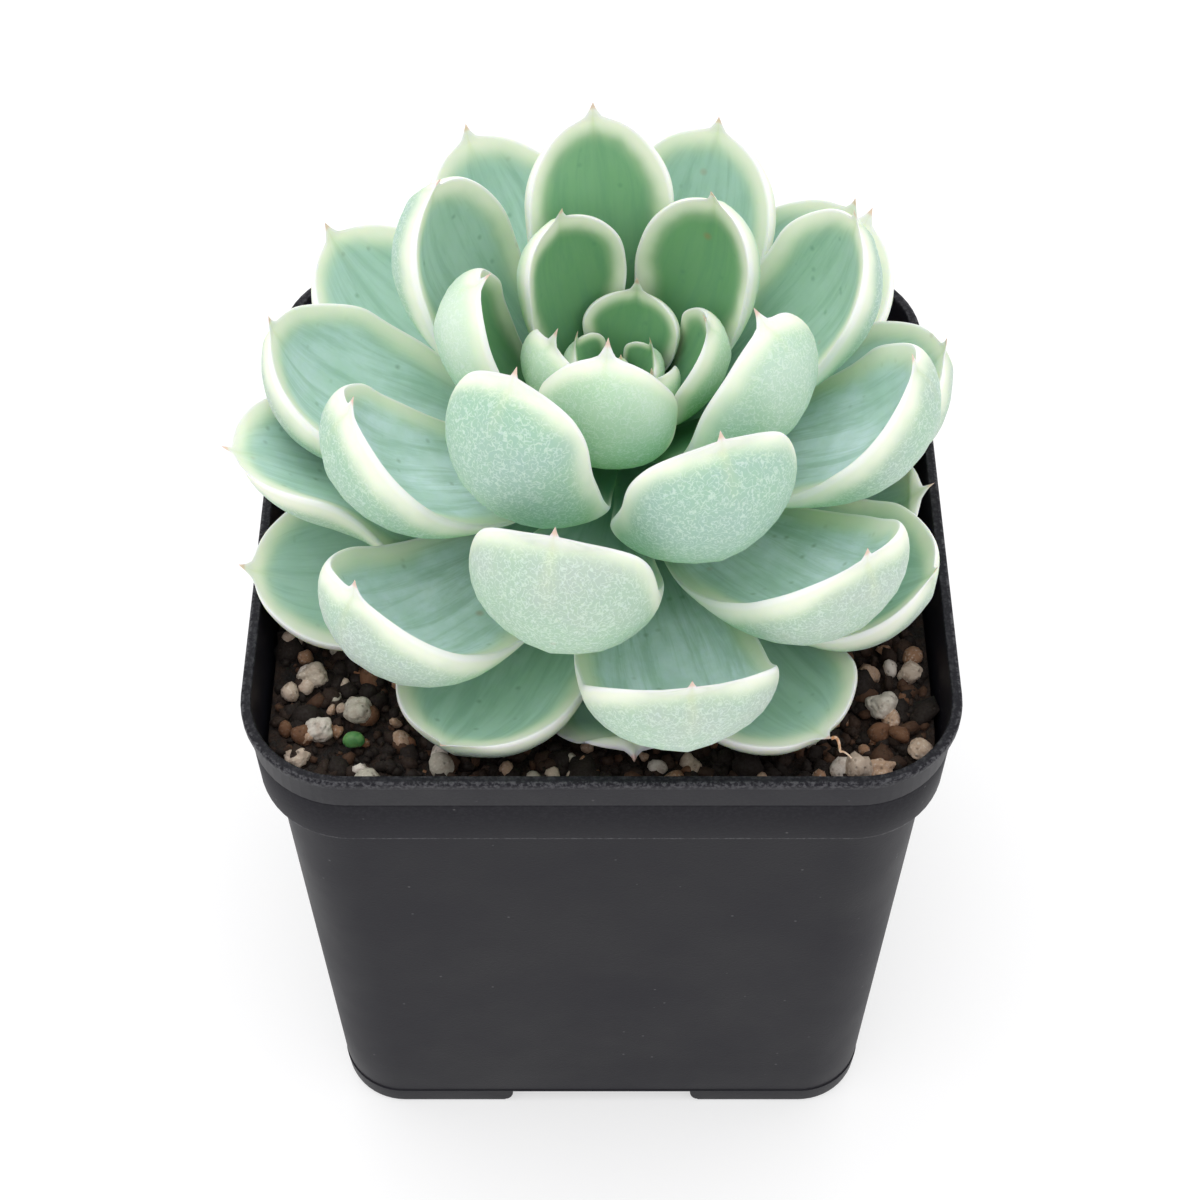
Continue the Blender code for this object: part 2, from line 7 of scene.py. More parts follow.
import bmesh
import bpy
import numpy as np
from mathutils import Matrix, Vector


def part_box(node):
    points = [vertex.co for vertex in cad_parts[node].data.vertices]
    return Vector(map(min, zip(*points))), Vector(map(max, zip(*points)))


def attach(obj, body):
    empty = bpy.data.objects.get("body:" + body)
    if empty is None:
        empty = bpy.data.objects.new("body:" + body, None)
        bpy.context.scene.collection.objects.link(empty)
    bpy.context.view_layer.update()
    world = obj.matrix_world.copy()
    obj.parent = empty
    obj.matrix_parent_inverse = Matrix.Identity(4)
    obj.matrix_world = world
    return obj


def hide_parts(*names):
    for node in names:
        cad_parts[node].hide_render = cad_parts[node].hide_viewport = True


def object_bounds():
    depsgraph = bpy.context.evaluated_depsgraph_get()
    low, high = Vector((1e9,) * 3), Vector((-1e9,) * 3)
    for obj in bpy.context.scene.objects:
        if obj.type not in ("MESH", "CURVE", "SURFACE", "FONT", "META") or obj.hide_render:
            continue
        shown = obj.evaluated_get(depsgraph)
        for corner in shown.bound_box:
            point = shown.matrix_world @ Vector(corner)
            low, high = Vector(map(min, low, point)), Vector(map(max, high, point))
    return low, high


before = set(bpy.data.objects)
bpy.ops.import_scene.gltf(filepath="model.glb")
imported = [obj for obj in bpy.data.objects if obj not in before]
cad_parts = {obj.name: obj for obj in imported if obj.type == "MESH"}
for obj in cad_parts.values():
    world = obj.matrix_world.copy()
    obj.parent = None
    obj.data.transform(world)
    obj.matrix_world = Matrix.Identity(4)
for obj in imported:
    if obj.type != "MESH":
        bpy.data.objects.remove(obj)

CAD_BOX = [list(corner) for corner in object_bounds()]
MM = 0.001

# ---- places from the frame
POT_LOW, POT_TOP = (np.array(corner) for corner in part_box("pot"))
POT_MIDDLE = np.array([(POT_LOW[0] + POT_TOP[0]) / 2.0, (POT_LOW[1] + POT_TOP[1]) / 2.0, 0.0])
POT_WIDTH = POT_TOP[0] - POT_LOW[0]
POT_HEIGHT = POT_TOP[2]
SOIL_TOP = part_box("soil")[1][2]

# ---- pot sizes
RIM_CORNER = 13.6 * MM  # outer corner radius of the rim
LIP_HEIGHT = 1.3 * MM  # the narrow lip that stands out at the top of the collar
LIP_OUT = 0.6 * MM
COLLAR_HEIGHT = 14.0 * MM  # rim to the collar's lower edge
COLLAR_DRAFT = 0.4 * MM
COLLAR_STEP = 1.8 * MM  # the body lies this far inside the collar
BASE_WIDTH = 78.6 * MM
BASE_CORNER = 9.2 * MM
WALL = 1.3 * MM
FOOT_HEIGHT = 3.6 * MM
FOOT_WIDTH = 5.0 * MM
NOTCH_LENGTH = 27.0 * MM
DRAIN_RADIUS = 4.0 * MM
DRAIN_SPREAD = 21.0 * MM
FLOOR = 1.4 * MM
SOIL_GAP = 0.3 * MM  # between the soil and the walls

# ---- rosette
ROSETTE = POT_MIDDLE + np.array([2.4, 2.2, 0.0]) * MM + np.array([0.0, 0.0, POT_HEIGHT])
FIRST_LEAF = 5
LAST_LEAF = 46
START_ANGLE = 59.2  # direction of leaf 0, counter-clockwise from +X
TURN = 137.5  # from each leaf to the next older one

# How a leaf changes with its number.  Distances are from the rosette axis and above the rim, in mm.
AGE = [5, 8, 10, 12, 15, 18, 21, 25, 30, 36, 43, 50]
REACH = [4, 8.5, 10, 13.5, 19, 27, 32, 38.5, 46, 47, 46, 43]
RISE = [27, 31, 35.5, 41.5, 44, 43.5, 40, 35, 23, 12.5, 4, -2]
BOW = [18, 20, 26, 27, 24, 21, 17, 17, 15, 10, 5, 3]
HOOK = [12, 10, 20, 35, 42, 35, 42, 50, 52, 50, 36, 20]
WIDTH = [8, 13.5, 16, 18.5, 20.5, 22, 23.5, 25, 26, 25.5, 24.5, 22]
CUP = [48, 46, 52, 55, 57, 50, 48, 54, 50, 42, 42, 30]
THICK = [2.0, 2.8, 3.3, 3.8, 4.4, 4.7, 5.0, 5.3, 5.2, 4.6, 4.0, 2.4]
BASE_UP = [16, 14.7, 13.9, 13, 11.8, 10.5, 9.2, 7.5, 5.5, 3.3, 1.3, 0]
BASE_OUT = [0.9, 1.4, 1.9, 2.3, 2.9, 3.3, 3.7, 4.1, 4.5, 4.7, 4.8, 4.8]

# Where single leaves leave the spiral: turn, out, up, bow, hook, twist (degrees and mm).
OWN_WAY = {
    8: (-3, 0, 0, 0, 0, 0),
    9: (-2, 0, 2.5, 4, 8, 0),
    10: (-1, 0, -1.5, 0, 0, 2),
    11: (-4, 0, 3.2, -6, -10, 0),
    12: (-6, 0, 1, 6, 0, 0),
    13: (-2, 0, 0.7, 0, -18, 8),
    14: (1, -1.5, -2, 6, 0, -3),
    15: (1, 0, 1.5, 0, 10, 0),
    16: (0, 0, 4.2, -8, -24, 0),
    17: (6, 1.5, 4, 10, 6, -7),
    18: (0, 2, 0, 0, 0, 6),
    19: (1, -4, 2.2, 4, 4, 0),
    20: (1, 1, 3, 10, 0, 0),
    21: (-1, -1.5, 0.3, -5, -5, -2),
    22: (4, 2, -2.5, 4, 13, -6),
    23: (-2, 1, 1.5, 0, 9, 4),
    24: (2, 2, -1.8, -5, -10, 3),
    25: (2, 0, 2.5, 9, 8, -3),
    26: (2, -2.5, -1, -4, -8, -5),
    27: (2, 3, -2.5, 0, 0, -4),
    28: (0, 1.5, 2, 0, 6, -2),
    29: (0, -2.5, -2, 0, 0, 0),
    30: (3, 0, 0, 18, 0, -3),
    31: (5, -4.5, 2.5, 3, 0, -3),
    32: (4, 3, 1, 0, -10, 0),
    33: (3, 1, 3, 0, 20, -2),
    34: (-8, 3.5, 1, 0, -10, 0),
    35: (-3, 4, 3, -6, -30, 8),
    36: (0, -1.5, 0, 0, 12, 6),
    38: (-1, 2, -7, 0, 0, 6),
    41: (4, 3.5, -3, 0, 0, 5),
    42: (0, -4.5, 1, 0, 0, 0),
    43: (-12, 5.5, 1.5, 2, 12, -20),
    44: (6, -4.5, 2.5, 0, -8, 4),
    45: (0, -5, 2, -3, -20, 0),
    46: (8, -2, -3, -8, -28, 0),
}

POINT_LENGTH = 2.8  # mm, the hard point at a leaf's tip
WIDEST = 0.71  # share of the length where a plain outline is widest
GROWN_WIDEST = 0.70  # the same for a grown outline
UPPER, UNDER = 0.18, 0.82        # how the thickness is shared between a leaf's two sides
FIRST_OLD = 17  # the first leaf with the bluer skin of an old leaf
# How broad-shouldered single leaves are.
SQUARE_ENDED = {17: 1.2, 20: 1.7, 25: 2.2, 28: 0.5, 33: 1.6, 35: 0.6, 38: 0.4}
CAD_STATIONS = np.array([0.0, 0.16, 0.33, 0.49, 0.63, 0.75, 0.85, 0.93, 0.975])
CAD_AROUND = 10
LEAF_STATIONS = 72
LEAF_AROUND = 56
NEAR_TIP = np.array([1.3, 1.12, 0.95, 0.8, 0.62, 0.45, 0.28, 0.12])  # in point lengths
SOFTENING = 16  # rounds that smooth the pressed places of a leaf
BEHIND = 100.0  # mm, counted against corners on the wrong side of a place


def smooth(x):
    """Rises from 0 to 1 with a level start and end: 3x^2 - 2x^3."""
    x = np.clip(x, 0.0, 1.0)
    return x * x * (3.0 - 2.0 * x)


def curve_through(knots, values, at):
    """Smooth curve through values at knots, read at other places: cubic pieces with shared slopes."""
    knots = np.asarray(knots, float)
    slopes = np.gradient(values, knots, axis=0)
    i = np.clip(np.searchsorted(knots, at, side="right") - 1, 0, len(knots) - 2)
    gap = (knots[i + 1] - knots[i]).reshape((-1,) + (1,) * (values.ndim - 1))
    t = (np.clip(at, knots[0], knots[-1]) - knots[i]).reshape(gap.shape) / gap
    return ((1 + 2 * t) * (1 - t) ** 2 * values[i] + t * (1 - t) ** 2 * gap * slopes[i]
            + t * t * (3 - 2 * t) * values[i + 1] + t * t * (t - 1) * gap * slopes[i + 1])


# ---- leaf shape
def leaf_facts(n):
    """A leaf's sizes from its number: the age curves plus its own way of growing."""
    turn, out, up, bow, hook, twist = OWN_WAY.get(n, (0, 0, 0, 0, 0, 0))

    def at(curve):
        return float(np.interp(n, AGE, curve))

    return {
        "number": n,
        "angle": math.radians(START_ANGLE + TURN * n + turn),
        "base_out": at(BASE_OUT),
        "base_up": at(BASE_UP),
        "reach": at(REACH) + out,
        "rise": at(RISE) + up,
        "bow": at(BOW) + bow,
        "hook": at(HOOK) + hook,
        "width": at(WIDTH),
        "cup": at(CUP),
        "thick": at(THICK),
        "twist": twist,
    }


def midrib(fact, steps=240):
    """Curve from stem to tip in the leaf's own upright plane.

    Its slope grows evenly by twice the bow, and the hook adds a smooth rise over the outer half.
    The curve is then turned and sized so that it ends at the tip.
    """
    q = np.linspace(0.0, 1.0, steps + 1)
    slope = np.radians(fact["bow"] * (2.0 * q - 1.0) + fact["hook"] * smooth((q - 0.5) / 0.5))
    middle = (slope[1:] + slope[:-1]) / 2.0
    run = np.concatenate([[0.0], np.cumsum(np.cos(middle))]) / steps
    lift = np.concatenate([[0.0], np.cumsum(np.sin(middle))]) / steps
    span_out = fact["reach"] - fact["base_out"]
    span_up = fact["rise"] - fact["base_up"]
    length = math.hypot(span_out, span_up) / math.hypot(run[-1], lift[-1])
    lean = math.atan2(span_up, span_out) - math.atan2(lift[-1], run[-1])
    c, s = math.cos(lean), math.sin(lean)
    out = fact["base_out"] + length * (run * c - lift * s)
    up = fact["base_up"] + length * (run * s + lift * c)
    return q, out, up, slope + lean, length


def swelling(share, widest):
    """Half width, of 1, from the stem to the widest place: 0.2, and the rest as a power of a sine."""
    return 0.2 + 0.8 * np.sin(np.pi / 2 * np.clip(share / widest, 0.0, 1.0)) ** 1.2


def rounding(share, widest):
    """0 up to the widest place, then evenly to 1 at the end."""
    return np.clip((share - widest) / (1.0 - widest), 0.0, 1.0)


def plain_outline(fact, to_tip):
    """Half width: a sine up to the widest place, then a rounded end, flared into the point."""
    tip = POINT_LENGTH / fact["length"]
    share = np.clip((1.0 - to_tip * tip) / (1.0 - tip), 0.0, 1.0)
    end = rounding(share, WIDEST)
    half = np.where(share < WIDEST, swelling(share, WIDEST),
                    (1.0 - end ** 2.4) ** 0.56) * fact["width"] / 2.0
    return half + 0.55 * np.exp(-to_tip / 0.7) * np.clip(1.5 * to_tip, 0.0, 1.0)


def grown_outline(fact, to_tip):
    """Half width with the shoulders of a real leaf: the rounded end runs up hollow into the point.

    The point is a tent whose sides grow as the square of the distance from the tip.  The flesh ends
    nearer to the tip on broad-shouldered leaves.  A few slow waves keep the margin from being even.
    """
    square = SQUARE_ENDED.get(fact["number"], 0.0)
    below = to_tip * POINT_LENGTH
    flesh = fact["length"] - POINT_LENGTH + 0.4 + min(square, 1.0)
    share = np.clip((fact["length"] - below) / flesh, 0.0, 1.0)
    end = rounding(share, GROWN_WIDEST)
    body = np.where(share < GROWN_WIDEST, swelling(share, GROWN_WIDEST),
                    (1.0 - end ** (2.25 + square)) ** (0.6 - 0.04 * square)) * fact["width"] / 2.0
    scale = 0.35 + 0.65 * fact["width"] / 24.0
    tent = 0.05 + (0.20 * below + 0.14 * below ** 2) * scale
    tent = tent * (1.0 - smooth((below - 3.0) / 4.0))
    n = fact["number"]
    wave = 1.0 + 0.010 * np.sin(9.0 * share + 1.7 * n) + 0.007 * np.sin(23.0 * share + 2.9 * n)
    return (body ** 3 + tent ** 3 + 1e-5) ** (1.0 / 3.0) * wave


def leaf_surface(fact, along, around, outline, detail=0.0):
    """Points of a leaf's skin, at each share of its length and each angle round it.

    The section is a lens bent round the midrib, flat above and full below.  With detail it also has
    a low keel under the tip, a shallow valley above it, and faint swells.
    Returns points, the direction of the leaf's back, and the flat place across and along.
    """
    q, out, up, slope, length = midrib(fact)
    out, up, slope = (np.interp(along, q, v) for v in (out, up, slope))
    tip = POINT_LENGTH / length
    share = np.clip(along / (1.0 - tip), 0.0, 1.0)
    end = rounding(share, WIDEST)
    to_tip = (1.0 - along) / tip
    half = outline(fact, to_tip)
    deep = fact["thick"] * (0.19 + 0.81 * smooth(share / 0.72)) * (1.0 - end ** 2.6) ** 0.8
    deep = deep + 0.3 * np.clip(to_tip, 0.0, 1.0)
    half, deep = half[:, None], deep[:, None]
    x = half * np.cos(around)
    above = np.abs(np.sin(around))
    z = np.where(np.sin(around) > 0, UPPER * deep * above ** 1.1, -UNDER * deep * above ** 1.2)
    if detail:
        n = fact["number"]
        near_tip = smooth((share - 0.45) / 0.4)[:, None] * np.clip(to_tip, 0.0, 1.0)[:, None]
        keel = np.exp(-(x / 0.9) ** 2) * near_tip
        swell = (np.sin(0.55 * x + 5.0 * along[:, None] + n) + np.sin(11.0 * along[:, None] + 2.0 * n)
                 + np.sin(0.9 * x - 9.0 * along[:, None] + 3.0 * n))
        z = z - detail * keel * np.where(np.sin(around) > 0, 0.16, 0.2)
        z = z + detail * 0.045 * swell * above * smooth(share * 4.0)[:, None]
    bend = np.radians(fact["cup"]) / (fact["width"] / 2.0) * smooth(share * 1.3)[:, None] + 1e-6
    side = np.sin(bend * x) / bend - z * np.sin(bend * x)
    height = (1.0 - np.cos(bend * x)) / bend + z * np.cos(bend * x)
    twist = np.radians(fact["twist"]) * smooth(share * 1.2)[:, None]
    side, height = (side * np.cos(twist) - height * np.sin(twist),
                    side * np.sin(twist) + height * np.cos(twist))
    ahead = np.array([math.cos(fact["angle"]), math.sin(fact["angle"]), 0.0])
    across = np.array([-ahead[1], ahead[0], 0.0])
    face = np.stack([-np.sin(slope) * ahead[0], -np.sin(slope) * ahead[1], np.cos(slope)], axis=1)
    points = (out[:, None, None] * ahead + up[:, None, None] * np.array([0.0, 0.0, 1.0])
              + side[..., None] * across + height[..., None] * face[:, None, :])
    return points, face, x, along * length


def pressed_back(fact, node):
    """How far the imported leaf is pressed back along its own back, at each station and column.

    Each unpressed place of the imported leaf's grid looks along its back for the corner it became.
    """
    angles = np.arange(CAD_AROUND) / CAD_AROUND * 2.0 * np.pi
    rings, face, _, _ = leaf_surface(fact, CAD_STATIONS, angles, plain_outline)
    corners = np.array([v.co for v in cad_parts[node].data.vertices])
    corners = np.unique(np.round((corners - ROSETTE) / MM, 3), axis=0)
    half_round = CAD_AROUND // 2
    sink = np.zeros((len(CAD_STATIONS), half_round + 1))
    for i in range(len(CAD_STATIONS)):
        away = rings[i, :half_round + 1, None, :] - corners[None, :, :]
        depth = away @ face[i]
        miss = np.linalg.norm(away - depth[..., None] * face[i], axis=-1) + BEHIND * (depth < -0.05)
        best = miss.argmin(axis=1)
        sink[i] = depth[np.arange(half_round + 1), best]
    return np.maximum(sink, 0.0)


def soften(grid, rounds):
    """Evens out a grid of values: each takes a share of its neighbours' along and, closed, around."""
    for _ in range(rounds):
        tall = np.concatenate([grid[:1], grid, grid[-1:]])
        grid = (tall[:-2] + 2.0 * tall[1:-1] + tall[2:]) / 4.0
        grid = (np.roll(grid, 1, axis=1) + 6.0 * grid + np.roll(grid, -1, axis=1)) / 8.0
    return grid


# ---- mesh helpers
def finish_piece(obj, slot, *nodes):
    """The piece moves with the root body, and stands for the CAD nodes named."""
    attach(obj, "root")
    if nodes:
        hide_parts(*nodes)
    return obj


def mesh_object(name, points, faces, material, layers=None):
    """A smooth-shaded mesh with float layers on its points."""
    mesh = bpy.data.meshes.new(name)
    mesh.from_pydata(np.asarray(points, float).tolist(), [], [list(f) for f in faces])
    mesh.update()
    mesh.shade_smooth()
    for key, values in (layers or {}).items():
        layer = mesh.attributes.new(key, "FLOAT", "POINT")
        layer.data.foreach_set("value", np.asarray(values, np.float32).ravel())
    mesh.materials.append(material)
    obj = bpy.data.objects.new(name, mesh)
    bpy.context.scene.collection.objects.link(obj)
    return obj


def wall_faces(count, around):
    """Quads between rings of points, one ring after another."""
    i, j = np.meshgrid(np.arange(count - 1) * around, np.arange(around), indexing="ij")
    k = (j + 1) % around
    return np.stack([i + j, i + k, i + around + k, i + around + j], axis=-1).reshape(-1, 4).tolist()


def ring_faces(count, around, flip=False):
    """Quads between rings of points, and a fan to one further point at each end."""
    j = np.arange(around)
    k = (j + 1) % around
    start, last = count * around, (count - 1) * around
    low = np.stack([np.full(around, start), k, j], axis=-1)
    high = np.stack([np.full(around, start + 1), last + j, last + k], axis=-1)
    faces = wall_faces(count, around) + low.tolist() + high.tolist()
    return [f[::-1] for f in faces] if flip else faces


# ---- node helpers
class Wiring:
    """Short words for adding nodes to one tree and joining them."""

    def __init__(self, tree):
        self.tree = tree

    def add(self, kind, settings=None, **inputs):
        node = self.tree.nodes.new("ShaderNode" + kind)
        for key, value in (settings or {}).items():
            setattr(node, key, value)
        for key, value in inputs.items():
            self.put(node.inputs[key.replace("_", " ")], value)
        return node

    def put(self, socket, value):
        if isinstance(value, bpy.types.NodeSocket):
            self.tree.links.new(value, socket)
        elif isinstance(value, tuple) and len(value) == 3 and socket.type == "RGBA":
            socket.default_value = (*value, 1.0)
        else:
            socket.default_value = value

    def math(self, operation, a, b=0.0, clamp=False):
        node = self.add("Math", {"operation": operation, "use_clamp": clamp})
        self.put(node.inputs[0], a)
        self.put(node.inputs[1], b)
        return node.outputs[0]

    def times(self, a, b):
        return self.math("MULTIPLY", a, b)

    def step(self, value, low, high, out_low=0.0, out_high=1.0):
        """Smooth change from out_low to out_high as value goes from low to high."""
        node = self.add("MapRange", {"interpolation_type": "SMOOTHSTEP"}, Value=value)
        ends = {"From Min": low, "From Max": high, "To Min": out_low, "To Max": out_high}
        for key, number in ends.items():
            self.put(node.inputs[key], number)
        return node.outputs[0]

    def mix(self, factor, a, b, blend="MIX"):
        node = self.add("Mix", {"data_type": "RGBA", "blend_type": blend})
        self.put(node.inputs[0], factor)
        self.put(node.inputs[6], a)
        self.put(node.inputs[7], b)
        return node.outputs[2]

    def noise(self, vector, scale, detail=2.0, rough=0.5, distortion=0.0):
        return self.add("TexNoise", Vector=vector, Scale=scale, Detail=detail,
                        Roughness=rough, Distortion=distortion).outputs["Fac"]

    def layer(self, name):
        return self.add("Attribute", {"attribute_name": name}).outputs["Fac"]

    def place(self):
        return self.add("TexCoord").outputs["Object"]


def new_material(name):
    """An empty material with one Principled shader, and its wiring."""
    material = bpy.data.materials.new(name)
    material.use_nodes = True
    net = Wiring(material.node_tree)
    return material, net, material.node_tree.nodes["Principled BSDF"]


def new_group(name, inputs, outputs):
    """A shader node group with named float inputs, each with its default, and named outputs."""
    group = bpy.data.node_groups.new(name, "ShaderNodeTree")
    for key, default in inputs.items():
        kind = "NodeSocketVector" if default is None else "NodeSocketFloat"
        socket = group.interface.new_socket(key, in_out="INPUT", socket_type=kind)
        if default is not None:
            socket.default_value = default
    for key in outputs:
        group.interface.new_socket(key, in_out="OUTPUT", socket_type="NodeSocketFloat")
    given, out = (group.nodes.new("NodeGroup" + end) for end in ("Input", "Output"))
    return group, Wiring(group), given.outputs, out.inputs


def use_group(net, group, **inputs):
    """Places a node group with these values on its inputs, and gives its outputs."""
    node = net.add("Group", {"node_tree": group})
    for key, value in inputs.items():
        net.put(node.inputs[key.replace("_", " ")], value)
    return node.outputs


def dress(net, shader, colour, rough, height, strength, distance, **fixed):
    """Joins a colour, a roughness and the bump of a height to the shader, and sets its fixed values."""
    net.put(shader.inputs["Base Color"], colour)
    net.put(shader.inputs["Roughness"], rough)
    bump = net.add("Bump", Strength=strength, Distance=distance, Height=height)
    net.put(shader.inputs["Normal"], bump.outputs["Normal"])
    for key, value in fixed.items():
        net.put(shader.inputs[key.replace("_", " ")], value)


# ---- shared effects
def make_labyrinth():
    """Short winding ridges, as in wax on a leaf or fine moulded grain: 1 between two close levels of
    a noise, 0 away from them."""
    given = {"Place": None, "Scale": 2000.0, "Width": 0.06}
    group, net, given, out = new_group("winding ridges", given, ["Ridges"])
    field = net.noise(given["Place"], given["Scale"], 1.0, 0.4, 0.6)
    off = net.math("ABSOLUTE", net.math("SUBTRACT", field, 0.5))
    off = net.math("DIVIDE", off, given["Width"])
    net.put(out["Ridges"], net.math("SUBTRACT", 1.0, off, clamp=True))
    return group


def make_specks():
    """Scattered dots: 1 in the middle of some cells of a Voronoi pattern, 0 elsewhere."""
    given = {"Place": None, "Scale": 400.0, "Size": 0.2, "Share": 0.3}
    group, net, given, out = new_group("specks", given, ["Specks"])
    cells = net.add("TexVoronoi", Vector=given["Place"], Scale=given["Scale"])
    pick = net.add("SeparateColor", Color=cells.outputs["Color"]).outputs[0]
    off = net.math("DIVIDE", cells.outputs["Distance"], given["Size"])
    near = net.math("SUBTRACT", 1.0, off, clamp=True)
    net.put(out["Specks"], net.times(near, net.math("LESS_THAN", pick, given["Share"])))
    return group


LABYRINTH = make_labyrinth()
SPECKS = make_specks()


def specks(net, place, scale, size, share):
    """The specks group with its values set."""
    return use_group(net, SPECKS, Place=place, Scale=scale, Size=size, Share=share)["Specks"]


# ---- materials
def leaf_material():
    """Waxy leaf: green middle under a powdery bloom that is painted paler towards the front as a sheen,
    cream margins, a bright rim and a rosy point.

    Reads the layers edge (mm in from the margin), along and across (shares), top (1 above, 0 below),
    age (0 young to 1 old) and point (1 on the hard point).
    """
    material, net, shader = new_material("waxy leaf")
    place = net.place()
    edge, along, across = net.layer("edge"), net.layer("along"), net.layer("across")
    top, age, point = net.layer("top"), net.layer("age"), net.layer("point")
    broad = net.noise(place, 90.0, 3.0)
    patch = net.noise(place, 320.0, 4.0, 0.6)

    # upper side
    young = net.mix(net.step(along, 0.2, 0.8), (0.06, 0.21, 0.07), (0.17, 0.42, 0.17))
    old = net.mix(net.step(along, 0.15, 0.7), (0.20, 0.42, 0.28), (0.38, 0.63, 0.48))
    green = net.mix(net.step(age, 0.29, 0.42), young, old)
    # The bloom is thinned towards the back (higher Y), so the front leaves come out paler and bluer:
    # painted sheen, standing for the sky reflected on them.
    back = net.add("SeparateXYZ", Vector=place).outputs["Y"]
    bloom_and_sheen = net.step(age, 0.3, 0.46, 0.1, 1.0)
    for share in (net.step(back, -0.015, 0.035, 1.0, 0.3), net.step(broad, 0.3, 0.6, 0.55, 1.0),
                  net.step(along, 0.1, 0.45), net.step(patch, 0.3, 0.7, 0.75, 1.0),
                  net.step(age, 0.66, 0.72, 1.0, 0.3)):
        bloom_and_sheen = net.times(bloom_and_sheen, share)
    flat = net.add("CombineXYZ", X=net.times(across, 2.4), Y=along,
                     Z=net.times(age, 60.0))
    streak = net.noise(flat.outputs[0], 2.6, 5.0, 0.65, 0.4)
    bloom_and_sheen = net.times(bloom_and_sheen, net.step(streak, 0.34, 0.58, 0.55, 1.0))
    green = net.mix(net.step(streak, 0.3, 0.6, 0.25, 0.0), green, (0.12, 0.30, 0.22))
    upper = net.mix(bloom_and_sheen, green, (0.76, 0.92, 0.98))
    fleck = specks(net, place, 620.0, 0.3, 0.16)
    upper = net.mix(net.times(fleck, 0.5), upper, (0.10, 0.27, 0.16))

    # under side
    shade = net.mix(net.step(along, 0.35, 0.8), (0.29, 0.64, 0.24), (0.36, 0.62, 0.40))
    pale = net.mix(net.step(age, 0.26, 0.34), (0.70, 0.85, 0.69), (0.38, 0.56, 0.48))
    pale = net.mix(net.step(age, 0.41, 0.5), pale, (0.49, 0.59, 0.52))
    powder = net.times(net.step(along, 0.45, 0.85), net.step(broad, 0.3, 0.7, 0.5, 1.0))
    under = net.mix(powder, shade, pale)
    ridges = use_group(net, LABYRINTH, Place=place, Scale=1650.0, Width=0.07)["Ridges"]
    mid = net.times(net.step(edge, 0.6, 2.4), net.step(along, 0.2, 0.45))
    worm = net.times(ridges, net.times(mid, net.math("SUBTRACT", 1.0, top)))
    under = net.mix(net.times(worm, 0.5), under, (0.80, 0.91, 0.83))
    middle = net.mix(top, under, upper)

    # margins: yellow green, then cream, then a bright rim
    wide = net.math("ADD", edge, net.step(broad, 0.3, 0.7, -0.5, 0.5))
    wide = net.times(wide, net.step(top, 0.0, 1.0, 1.3, 1.0))
    far = net.step(along, 0.2, 0.55)
    band = net.times(net.step(wide, 1.0, 4.2, 1.0, 0.0), far)
    strength = net.step(top, 0.0, 1.0, 0.38, 0.6)
    skin = net.mix(net.times(band, strength), middle, (0.72, 0.84, 0.56))
    cream = net.times(net.step(wide, 0.4, 3.0, 0.96, 0.0), far)
    skin = net.mix(cream, skin, (0.90, 0.94, 0.80))
    rim = net.times(net.step(edge, 0.12, 0.5, 1.0, 0.0), net.step(along, 0.15, 0.4))
    skin = net.mix(rim, skin, (0.96, 0.97, 0.92))
    keel = net.times(net.step(net.math("ABSOLUTE", across), 0.0, 0.14, 1.0, 0.0),
                      net.step(along, 0.82, 0.97))
    skin = net.mix(net.times(keel, 0.2), skin, (0.78, 0.80, 0.45))
    rust = specks(net, place, 210.0, 0.16, 0.07)
    skin = net.mix(net.times(rust, 0.6), skin, (0.42, 0.20, 0.07))
    skin = net.mix(net.step(point, 0.0, 0.8), skin, (0.84, 0.55, 0.44))

    rough = net.math("SUBTRACT", net.step(patch, 0.25, 0.75, 0.5, 0.62), net.times(rim, 0.16))
    height = net.math("ADD", net.times(worm, 0.6), net.times(patch, 0.5))
    dress(net, shader, skin, rough, height, 0.35, 0.00008, Subsurface_Weight=0.35,
          Subsurface_Radius=(0.8, 1.0, 0.35), Subsurface_Scale=0.0016, Specular_IOR_Level=0.35)
    return material


def pot_material():
    """Charcoal plastic: fine moulded grain, dust specks, and paler speckled marks on the rounded rim edges:
    partly scuffs, partly a painted highlight.
    """
    material, net, shader = new_material("charcoal plastic")
    place = net.place()
    wear = net.layer("wear")
    cloud = net.noise(place, 45.0, 4.0, 0.6)
    fine = net.noise(place, 2600.0, 2.0, 0.6)
    base = net.mix(net.step(cloud, 0.25, 0.75), (0.006, 0.0055, 0.0088), (0.0095, 0.0088, 0.0135))
    dust = specks(net, place, 700.0, 0.16, 0.05)
    base = net.mix(net.times(dust, 0.35), base, (0.25, 0.24, 0.25))
    scratch = net.noise(place, 1900.0, 3.0, 0.7)
    # Paler speckled marks on the rounded edges: scuffs, together with a painted highlight along the lip and
    # the collar's lower edge.
    scuff_and_highlight = net.times(wear, net.step(scratch, 0.42, 0.64))
    base = net.mix(net.times(scuff_and_highlight, 0.22), base, (0.30, 0.30, 0.32))
    worm = use_group(net, LABYRINTH, Place=place, Scale=1300.0, Width=0.05)["Ridges"]
    height = net.math("ADD", net.times(worm, 0.35), fine)
    dress(net, shader, base, net.step(cloud, 0.2, 0.8, 0.42, 0.56), height, 0.22, 0.00006,
          Specular_IOR_Level=0.17)
    return material


def soil_material():
    """Damp peat: near black to red brown, mottled at two scales."""
    material, net, shader = new_material("dark peat")
    place = net.place()
    coarse = net.noise(place, 500.0, 4.0, 0.65)
    fine = net.noise(place, 2400.0, 3.0, 0.7)
    base = net.mix(net.step(coarse, 0.35, 0.66), (0.005, 0.0032, 0.0026), (0.03, 0.014, 0.008))
    base = net.mix(net.step(fine, 0.58, 0.76, 0.0, 0.6), base, (0.10, 0.048, 0.025))
    height = net.math("ADD", coarse, fine)
    dress(net, shader, base, net.step(fine, 0.3, 0.7, 0.6, 0.95), height, 0.8, 0.0004)
    return material


